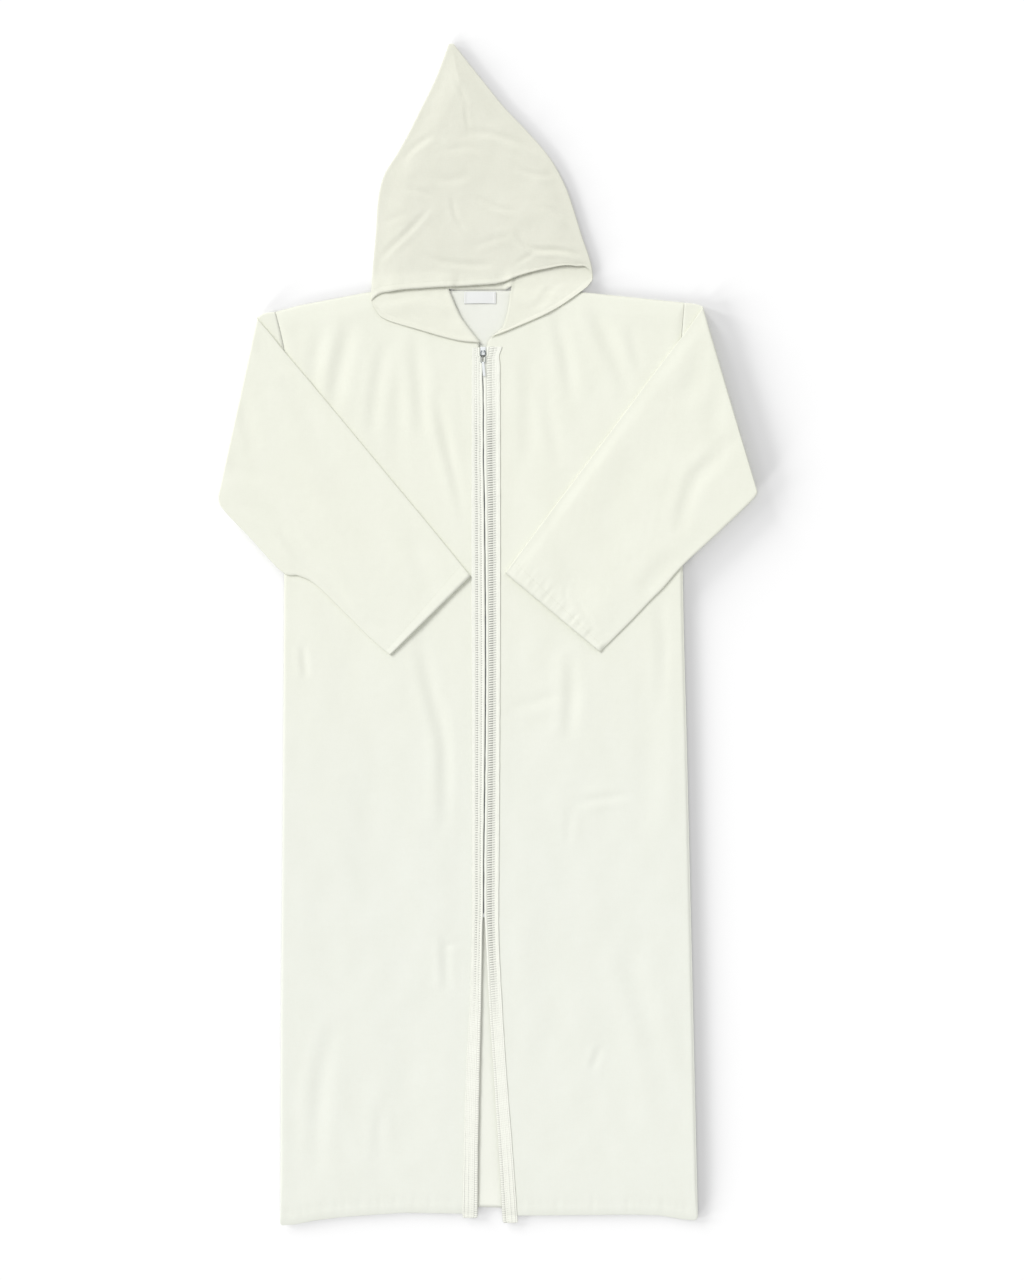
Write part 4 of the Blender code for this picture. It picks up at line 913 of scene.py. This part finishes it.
def make_lapel(side, start, share):
    """Grid from the under layer's last row, start, down to the lapel's free edge. share
    says how far along that row each point lies, 1 at the neck seam."""
    end = fair_curve(LOWER_RIMS[side], share)
    steps = np.linspace(0, 1, LAPEL_STEPS)
    spot = start[None, :, :2] + (end - start[:, :2])[None] * steps[:, None, None]
    seam = fair_curve(NECK_SEAMS[side], steps)
    chord = start[-1, :2] + (end[-1] - start[-1, :2]) * steps[:, None]
    seam[0] = start[-1, :2]
    spot += (seam - chord)[:, None] * (share ** 3)[None, :, None]
    x, y = spot[..., 0], spot[..., 1]
    low = hood_floor(x, y)
    drop = np.hypot(*(end - start[:, :2]).T)[None]
    gone, to_rim = steps[:, None] * drop, (1 - steps[:, None]) * drop
    edge = np.clip(turned_hem(0, to_rim, *LAPEL_HEM[:4], LAPEL_HEM[4]), -0.3, 1)
    roll = LAPEL_ROLL[0] * np.exp(-to_rim / LAPEL_ROLL[1]) + edge
    waves, stand, folds = LAPELS[side]
    ripple = all_swells(x, y, waves) + fold_relief(x, y, folds) + stand
    z = low + (start[None, :, 2] - low) * np.exp(-gone / LAPEL_DROP) * (steps[:, None] < 1)
    z = z + np.clip(roll + ripple, 0, None) * ease(gone, 0, LAPEL_CLEAR)
    lapel = with_height(spot, z)
    lapel[0] = start
    return lapel


def make_hood():
    span = HOOD[-1][2] - HOOD[-1][0]
    across = near_edges(HOOD_WIDE, HOOD_CELL)
    seams = []
    for neck_end in (NECK_LEFT, NECK_RIGHT):
        share = (neck_end - HOOD[-1][0]) / span
        seams.append(int(np.abs(across - share).argmin()))
        across[seams[-1]] = share
    over_xy, under_xy, from_tip, from_fold = hood_outline(across)
    x, y = over_xy[..., 0], over_xy[..., 1]
    low, from_rim = hood_floor(x, y), HOOD_LONG - from_tip
    relief = fold_relief(x, y, HOOD_FOLDS) + all_swells(x, y, HOOD_SWELLS)
    calm = ease(from_fold, *CALM_FOLD) * ease(from_tip, *CALM_TIP)
    hem = turned_hem(x, from_rim, RIM_DEEP, RIM_DOUBLE, RIM_GROOVE, RIM_PUCKERS)
    hem = hem + RIM_LIFT[0] * np.exp(-from_rim / RIM_LIFT[1])
    stand = HOOD_PUFF * ease(from_fold, 0, PUFF_REACH) + calm * relief
    stand = stand - RIM_SINK[0] * np.exp(-from_rim / RIM_SINK[1]) * ease(from_fold, 5, 50)
    full = soft_over(low + HOOD_OPEN, stand) + hem * ease(from_fold, 1, 12)
    middle = (low + full) / 2
    swell = rounded(from_fold, HOOD_EDGE) * rounded(from_tip, TIP_ROUND)
    over = with_height(over_xy, middle + (full - middle) * swell)
    low = np.minimum(hood_floor(under_xy[..., 0], under_xy[..., 1]), middle)
    under = with_height(under_xy, middle - (middle - low) * swell)
    grids = [(over, True), (under, False)]
    for side, columns in (("left", np.arange(0, seams[0] + 1)),
                          ("right", np.arange(len(across) - 1, seams[1] - 1, -1))):
        share = across[columns] - across[columns[0]]
        grids.append((make_lapel(side, under[-1, columns], share / share[-1]), False))
    made, area = sew("hood_and_lapels", grids, hood_cloth, "hood")
    print("hood: cloth in both layers and lapels", round(area, 3), "square metres")
    return made, area, over, from_rim


hood_piece, hood_area, hood_face, hood_from_rim = make_hood()

# %% [markdown]
# ## Braid bands
# A braid of fine cords is couched down both edges of the zip and on down both edges of
# the slit. Each band is one strip of relief. A cord is a half round along it, a row of
# knots is a cord pinched at an even pitch, and the ladder beside the zip is a wide flat
# cord cut by deep cross bars. Further down the ladder runs out into plain cords, so the
# two patterns are mixed by height. How much painted shade each point gets, in the
# threads' gaps, the grooves and the band's sides, is kept on the mesh, and the material
# darkens it by that.

# %% Patterns of the bands
# Cords across a band from its outer edge: centre and half width as shares of its width,
# height in mm, pitch of its knots in mm, how deep they pinch and how dark the painted shade in
# the gaps is.
UPPER_CORDS = {
    "left": ((0.035, 0.045, 0.8, 0, 0, 0.05), (0.14, 0.065, 0.8, 0, 0, 0),
             (0.24, 0.045, 0.8, 0, 0, 0), (0.394, 0.105, 1.0, 3.7, 0.6, 0.62),
             (0.55, 0.055, 0.8, 0, 0, 0), (0.64, 0.045, 0.8, 0, 0, 0),
             (0.735, 0.045, 0.9, 3.7, 0.5, 0.55), (0.89, 0.10, 1.2, 0, 0, 0)),
    "right": ((0.03, 0.04, 1.2, 0, 0, 0), (0.13, 0.06, 1.1, 0, 0, 0),
              (0.235, 0.055, 1.0, 0, 0, 0), (0.325, 0.045, 1.0, 3.7, 0.5, 0.45),
              (0.41, 0.045, 1.0, 3.7, 0.5, 0.5), (0.625, 0.155, 1.2, 3.7, 0.8, 0.85),
              (0.90, 0.10, 1.3, 0, 0, 0))}
PLAIN_CORDS = tuple((0.05 + 0.13 * k, 0.065, 0.6, 3.4, 0.2, 0.12) for k in range(6))
PLAIN_CORDS += ((0.89, 0.10, 0.7, 3.4, 0.3, 0.35),)
BAND_ENDS = {"left": (-887.5, 437.0), "right": (-895.0, 438.0)}
BAND_BASE, BAND_LIFT, BAND_COLUMNS = 0.35, 0.25, 36
BAND_WAVER = {"left": 51, "right": 52}      # seed of each band's slight wandering
BAND_SWELLS = ((0.12, 30, 0, 20, 53),)
LOW_TAPER, HIGH_TAPER = (2.4, 4.0), (0.6, 2.0)   # how the ends narrow: by how much, how far
# painted shade: in the grooves between cords, on the band's sides, and how much less the plain
# cords get
GROOVE_SHADE, SIDE_SHADE, PLAIN_LIGHT = 0.10, 0.4, 0.04
LADDER_SLANT, LADDER_HALF = 0.35, 0.12      # bars of cords wider than this run askew
KNOT_STEP = 0.74               # five rows of points to a bar of the ladder
PLAIN_RANGE = (430, 640)       # the ladder runs out between these depths below the middle
TOP_SHADE_CUT, TOP_RANGE = 0.6, (290, 370)     # the painted shade in its gaps is this share lighter up here
BAND_HEM_SHADE, HEM_RANGE, HEM_LOW = 0.34, (720, 850), 0.22   # painted shade shows again in the low grooves near the hem


def cord_relief(cords, share, y):
    """Height of the cords above the band's ground, and how much painted shade their gaps get, 0
    to 1.
    """
    height, gap = np.zeros_like(share + y), np.full_like(share + y, GROOVE_SHADE)
    for centre, half, tall, pitch, pinch, dark in cords:
        dome = np.sqrt(np.clip(1 - ((share - centre) / half) ** 2, 0, 1))
        askew = y + LADDER_SLANT * (share - centre) / half if half > LADDER_HALF else y
        waist = 0.5 + 0.5 * np.cos(2 * pi * askew / pitch + 7 * centre) if pitch else 0 * y
        height = np.maximum(height, dome * tall * (1 - pinch * waist ** 1.5))
        gap = np.where(dome > 0.25, dark * waist ** 2.0, gap)
    return height, gap


def band_pattern(side, share, y):
    """Both patterns of a band, mixed by how far down a point lies."""
    plain = ease(-y, *PLAIN_RANGE)
    up_height, up_gap = cord_relief(UPPER_CORDS[side], share, y)
    low_height, low_gap = cord_relief(PLAIN_CORDS, share, y)
    up_gap = up_gap * (1 - TOP_SHADE_CUT * ease(y, *TOP_RANGE))
    gap = up_gap * (1 - plain) + low_gap * plain - PLAIN_LIGHT * plain
    gap = gap + BAND_HEM_SHADE * ease(-y, *HEM_RANGE) * (low_height < HEM_LOW)
    return up_height * (1 - plain) + low_height * plain, gap


def band_outline(side, share, y):
    """Across a band from its outer edge, with its tapered ends and the right one's turn
    at the top."""
    low_end, high_end = BAND_ENDS[side]
    first, last = (1, 2) if side == "left" else (4, 3)
    outer, inner = glide(BANDS, y, first), straight(BANDS, y, last)
    if side == "right":
        outer = outer + 3.6 * ease(y, 424, 440) - 1.2 * bell(y, 421, 6)
    pinch = (LOW_TAPER[0] * (1 - rounded(y - low_end, LOW_TAPER[1]))
             + HIGH_TAPER[0] * (1 - rounded(high_end - y, HIGH_TAPER[1])))
    lean = np.where(inner > outer, 1.0, -1.0)
    outer, inner = outer + lean * pinch, inner - lean * pinch
    waver = 0.08 * swells(y, 0 * y, 40, 90, 5, BAND_WAVER[side])
    return outer + (inner - outer) * share + waver


def make_band(side, finish):
    low_end, high_end = BAND_ENDS[side]
    y = np.arange(low_end, high_end, KNOT_STEP)[:, None]
    share = np.linspace(0, 1, BAND_COLUMNS)[None, :]
    x = band_outline(side, share, y)
    height, gap = band_pattern(side, share, y)
    base = straight(HEM_RISE, y - straight(HEM, x)) + BAND_LIFT
    end = rounded(y - low_end, 2.5) * rounded(high_end - y, 1.5)
    z = base + BAND_BASE + height * np.clip(end, 0.15, 1) + all_swells(x, y, BAND_SWELLS)
    rows, columns = z.shape
    top = np.stack([x, y + 0 * x, z], -1)
    sides = np.stack([x[:, [0, -1]], y + 0 * x[:, :2], base[:, [0, -1]]], -1)
    points = np.concatenate([top.reshape(-1, 3), sides.reshape(-1, 3)])
    index = np.arange(rows * columns).reshape(rows, columns)
    foot = rows * columns + np.arange(rows * 2).reshape(rows, 2)
    ring = np.concatenate([foot[:, :1], index, foot[:, 1:]], 1)
    faces = np.concatenate([quads_of(ring), quads_of(foot[:, ::-1])])
    ends = [ring[0][::-1], ring[-1]]
    if side == "right":
        faces, ends = faces[:, ::-1], [end_face[::-1] for end_face in ends]
    mesh = bpy.data.meshes.new(side + "_band")
    mesh.from_pydata((points * MM).tolist(), [],
                     faces.tolist() + [end_face.tolist() for end_face in ends])
    # painted shade for each point: the gaps' values on top, SIDE_SHADE on the band's sides
    depth = np.concatenate([gap.reshape(-1), np.full(rows * 2, SIDE_SHADE)]).astype(np.float32)
    mesh.attributes.new("painted_gap_shade", "FLOAT", "POINT").data.foreach_set("value", depth)
    mesh.shade_smooth()
    return piece_of(side + "_band", mesh, finish, "braid_" + side)


# %% Braid material and the two bands
def braid_finish():
    """Lustrous cord: twisted threads as a fine slanting wave, with painted shade in the gaps."""
    made, tree, shader = principled("ivory_braid")
    place = tree.nodes.new("ShaderNodeTexCoord")
    gap = tree.nodes.new("ShaderNodeAttribute")
    gap.attribute_name = "painted_gap_shade"
    grain = noise(tree, place, (1.0, 0.35, 1.0), 700.0)
    tone = add(tree, gap.outputs["Fac"], grain, 0.25)
    ramp = tree.nodes.new("ShaderNodeValToRGB")
    # from the cord's own ivory to the near-black of the painted shade
    for stop, place_of, colour in ((0, 0.12, (0.885, 0.895, 0.812, 1.0)),
                                   (1, 1.05, (0.16, 0.16, 0.15, 1.0))):
        ramp.color_ramp.elements[stop].position = place_of
        ramp.color_ramp.elements[stop].color = colour
    tree.links.new(tone, ramp.inputs["Fac"])
    tree.links.new(ramp.outputs["Color"], shader.inputs["Base Color"])
    bumped(tree, shader, threads(tree, place, "DIAGONAL", 0.9), 0.5, 0.15)
    fill(shader, {"Roughness": 0.55, "Specular IOR Level": 0.4, "Sheen Weight": 0.15})
    return made


braid = braid_finish()
left_band = make_band("left", braid)
right_band = make_band("right", braid)

# %% [markdown]
# ## The zip
# Between the bands runs a closed zip. Each tooth is a small block set on its own tape
# edge, and the teeth of the two tapes alternate, so from above they look like one dark
# ribbed line. The slider, its link and its tab keep their CAD shapes, because those are
# the parts that move. Slider and tab get a bright nickel finish, and the link is painted
# dark, as painted shade for the shadows round it.

# %% Teeth and tapes
ZIP_TOP, ZIP_END = 424.0, -424.0
TOOTH_STEP, FIRST_TOOTH, LAST_TOOTH = 1.45, 1.0, 2.0   # pitch, and room at the zip's ends
TOOTH_LONG, TOOTH_REACH, TOOTH_PAST = 1.05, 1.9, 0.45
TOOTH_LOW, TOOTH_TOP = 3.0, 4.75
TAPE_NEAR, TAPE_FAR, TAPE_Z = 2.5, 15.5, 3.75
TAPE_END, TAPE_TOP, TAPE_CELL, TAPE_COLUMNS = -436.0, 427.0, 4.0, 27
TAPE_RIB, TAPE_WALL = 0.12, 0.6
# A block's corners in half sizes: its foot, its shoulders, then its chamfered top.
BLOCK = ((-1, -1, 0), (1, -1, 0), (1, 1, 0), (-1, 1, 0),
         (-1, -1, 0.7), (1, -1, 0.7), (1, 1, 0.7), (-1, 1, 0.7),
         (-0.7, -0.6, 1), (0.7, -0.6, 1), (0.7, 0.6, 1), (-0.7, 0.6, 1))
BLOCK_FACES = [(3, 2, 1, 0), (8, 9, 10, 11)]
BLOCK_FACES += [(low + k, low + (k + 1) % 4, low + 4 + (k + 1) % 4, low + 4 + k)
                for low in (0, 4) for k in range(4)]


def zip_x(y):
    return (straight(BANDS, y, 2) + straight(BANDS, y, 3)) / 2


def small_blocks(name, blocks, finish, node):
    """Many little chamfered blocks as one mesh: centre, half size and direction each."""
    points, faces = [], []
    for (cx, cy, cz), (hx, hy, tall), (ux, uy) in blocks:
        faces += [[len(points) + corner for corner in face] for face in BLOCK_FACES]
        for sx, sy, sz in BLOCK:
            px, py = sx * hx, sy * hy
            points.append(((cx + px * ux - py * uy) * MM, (cy + px * uy + py * ux) * MM,
                           (cz + sz * tall) * MM))
    mesh = bpy.data.meshes.new(name)
    mesh.from_pydata(points, [], faces)
    return piece_of(name, mesh, finish, node)


def metal(name, colour, roughness, plated=1.0):
    """Plated metal with a faint tumbled unevenness in its gloss. A pale lacquer over the
    plate makes it less than wholly metallic."""
    made, tree, shader = principled(name)
    place = tree.nodes.new("ShaderNodeTexCoord")
    wear = noise(tree, place, (1.0, 1.0, 1.0), 900.0, 4.0)
    gloss = tree.nodes.new("ShaderNodeMapRange")
    fill(gloss, {"To Min": roughness, "To Max": roughness + 0.14})
    tree.links.new(wear, gloss.inputs["Value"])
    tree.links.new(gloss.outputs["Result"], shader.inputs["Roughness"])
    bumped(tree, shader, wear, 0.4, 0.06)
    fill(shader, {"Base Color": (*colour, 1.0), "Metallic": plated})
    return made


blocks = []
for k, y in enumerate(np.arange(ZIP_END + FIRST_TOOTH, ZIP_TOP - LAST_TOOTH, TOOTH_STEP)):
    way = 1 if k % 2 else -1
    reach = (TOOTH_REACH + TOOTH_PAST) / 2
    centre = float(zip_x(y)) + way * (TOOTH_REACH - TOOTH_PAST) / 2
    blocks.append(((centre, float(y), TOOTH_LOW), (reach, TOOTH_LONG / 2, TOOTH_TOP - TOOTH_LOW),
                   (1.0, 0.0)))
teeth = small_blocks("zip_teeth", blocks, metal("zip_teeth_grey", (0.42, 0.45, 0.50), 0.35),
                     "zip_chain")


def make_tape(side, finish):
    """Woven tape: a flat strip with the fine ribs of its weave along it."""
    way = -1 if side == "left" else 1
    y = np.arange(TAPE_END, TAPE_TOP, TAPE_CELL)[:, None]
    away = np.linspace(TAPE_NEAR, TAPE_FAR, TAPE_COLUMNS)[None, :]
    x = zip_x(y) + way * away
    z = TAPE_Z + TAPE_RIB * np.cos(away * 2 * pi) + 0 * x
    grid = np.stack([x, y + 0 * x, z], -1)
    return sew(side + "_zip_tape", [(grid, True)], finish, "zip_tape_" + side,
               TAPE_WALL)[0]


tape_cloth = woven("zip_tape_weave", (0.80, 0.82, 0.77), (0.74, 0.76, 0.71), 0.8, pitch=0.5)
left_tape, right_tape = make_tape("left", tape_cloth), make_tape("right", tape_cloth)


def refinish(node, finish):
    """A CAD node that is right as it stands gets its finish, with no change of shape."""
    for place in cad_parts[node].material_slots:
        place.material = finish


nickel = metal("bright_nickel", (0.93, 0.96, 0.97), 0.22, plated=0.4)
refinish("zip_slider", nickel)
# painted shade: the link is coloured dark to stand for the shadows round it
refinish("pull_link", metal("link_painted_shade", (0.16, 0.19, 0.22), 0.3))
refinish("pull_tab", nickel)
refinish("zip_stop", metal("stop_enamel", (0.86, 0.88, 0.88), 0.3))

# %% [markdown]
# ## Neck label
# A small white satin label is sewn inside the back of the neck. It is left blank. It is
# a folded ribbon: its two short ends are turned under, so they stand a little higher,
# and the middle bellies up between the two rows of stitches.

# %% Neck label
LABEL_WIDE, LABEL_TALL, LABEL_DOWN = 48.5, 18.2, 2.4
LABEL_LEFT = (NECK_LEFT + NECK_RIGHT - LABEL_WIDE) / 2
LABEL_TOP = BACK_NECK - LABEL_DOWN
LABEL_Z, LABEL_BELLY, LABEL_BOW, LABEL_WALL = 2.15, 0.55, 0.5, 0.4
LABEL_TURN, TURN_RANGE = 0.35, (3.2, 4.2)    # its ends are turned under this deep


def satin():
    made, tree, shader = principled("label_satin")
    place = tree.nodes.new("ShaderNodeTexCoord")
    height = add(tree, threads(tree, place, "Y", 0.35),
                 noise(tree, place, (0.1, 1.0, 1.0), 1500.0))
    bumped(tree, shader, height, 0.3, 0.05)
    fill(shader, {"Base Color": (0.800, 0.812, 0.800, 1.0), "Roughness": 0.45})
    return made


def make_label():
    u = np.linspace(0, 1, 61)[None, :]
    v = np.linspace(0, 1, 25)[:, None]
    x = LABEL_LEFT + LABEL_WIDE * u + 0 * v
    y = LABEL_TOP - LABEL_TALL * (1 - v) + LABEL_BOW * np.sin(pi * u)
    fold = LABEL_TURN * (1 - ease(np.minimum(u, 1 - u) * LABEL_WIDE, *TURN_RANGE))
    z = LABEL_Z + LABEL_BELLY * np.sin(pi * u) ** 1.5 + fold + 0.15 * np.sin(pi * v)
    return sew("blank_neck_label", [(np.stack([x, y, z], -1), True)], satin(), "neck_label",
               LABEL_WALL)[0]


label = make_label()

# %% [markdown]
# ## Stitches
# Lockstitch shows as a row of short raised threads. The hems, the cuffs, the rim of the
# hood and the ends of the label are topstitched. Each stitch is a small chamfered block
# laid along the cloth it holds, which stays sharp in close views at little cost.

# %% Rows of stitches
STITCH, SPACE = 2.4, 1.0       # length of a stitch and of the gap to the next
LABEL_STITCH, LABEL_SPACE = 1.5, 0.7
THREAD_HALF, THREAD_TALL, THREAD_SUNK = 0.22, 0.30, 0.05
LABEL_ROWS, LABEL_ROW_Z = (0.045, 0.955), 2.65

thread = woven("sewing_thread", (0.83, 0.84, 0.74), (0.76, 0.77, 0.67), 0.6, pitch=0.2)


def stitched(line, long=STITCH, space=SPACE):
    """Blocks for one row of stitches along a line of (x, y, z) points."""
    line = np.asarray(line, float)
    run = run_along(line)
    found = []
    for start in np.arange(space, run[-1] - long, long + space):
        a, b = [np.array([np.interp(s, run, line[:, c]) for c in range(3)])
                for s in (start, start + long)]
        way = (b - a)[:2] / np.hypot(*(b - a)[:2])
        middle = (a + b) / 2
        found.append(((middle[0], middle[1], middle[2] - THREAD_SUNK),
                      (long / 2, THREAD_HALF, THREAD_TALL), tuple(way)))
    return found


def hem_line(low_x, high_x):
    """The front's surface along the stitches of its hem."""
    x = np.linspace(low_x, high_x, 200)
    y = straight(HEM, x) + HEM_DEEP
    return np.stack([x, y, front_height(x, y)], -1)


def face_line(face, from_end, depth, trim=3):
    """The line on a grid of cloth at one depth in from its open end."""
    column = int(np.abs(from_end[0] - depth).argmin())
    return face[trim:-trim, column]


def stitch_row(name, line):
    return small_blocks(name, stitched(line), thread, None)


left_hem = stitch_row("left_hem_stitches", hem_line(-308, -40))
right_hem = stitch_row("right_hem_stitches", hem_line(50, 313))
left_cuff = stitch_row("left_cuff_stitches", face_line(left_face, left_from_cuff, CUFF_DEEP))
right_cuff = stitch_row("right_cuff_stitches", face_line(right_face, right_from_cuff, CUFF_DEEP))
rim_line = face_line(hood_face.swapaxes(0, 1), hood_from_rim.T, RIM_DEEP, 4)
hood_rim = stitch_row("hood_rim_stitches", rim_line)
label_ends = []
for share in LABEL_ROWS:
    x = LABEL_LEFT + LABEL_WIDE * share
    line = [(x, LABEL_TOP - LABEL_TALL + 0.8 + k, LABEL_ROW_Z) for k in range(17)]
    label_ends += stitched(line, LABEL_STITCH, LABEL_SPACE)
label_stitches = small_blocks("label_stitches", label_ends, thread, None)
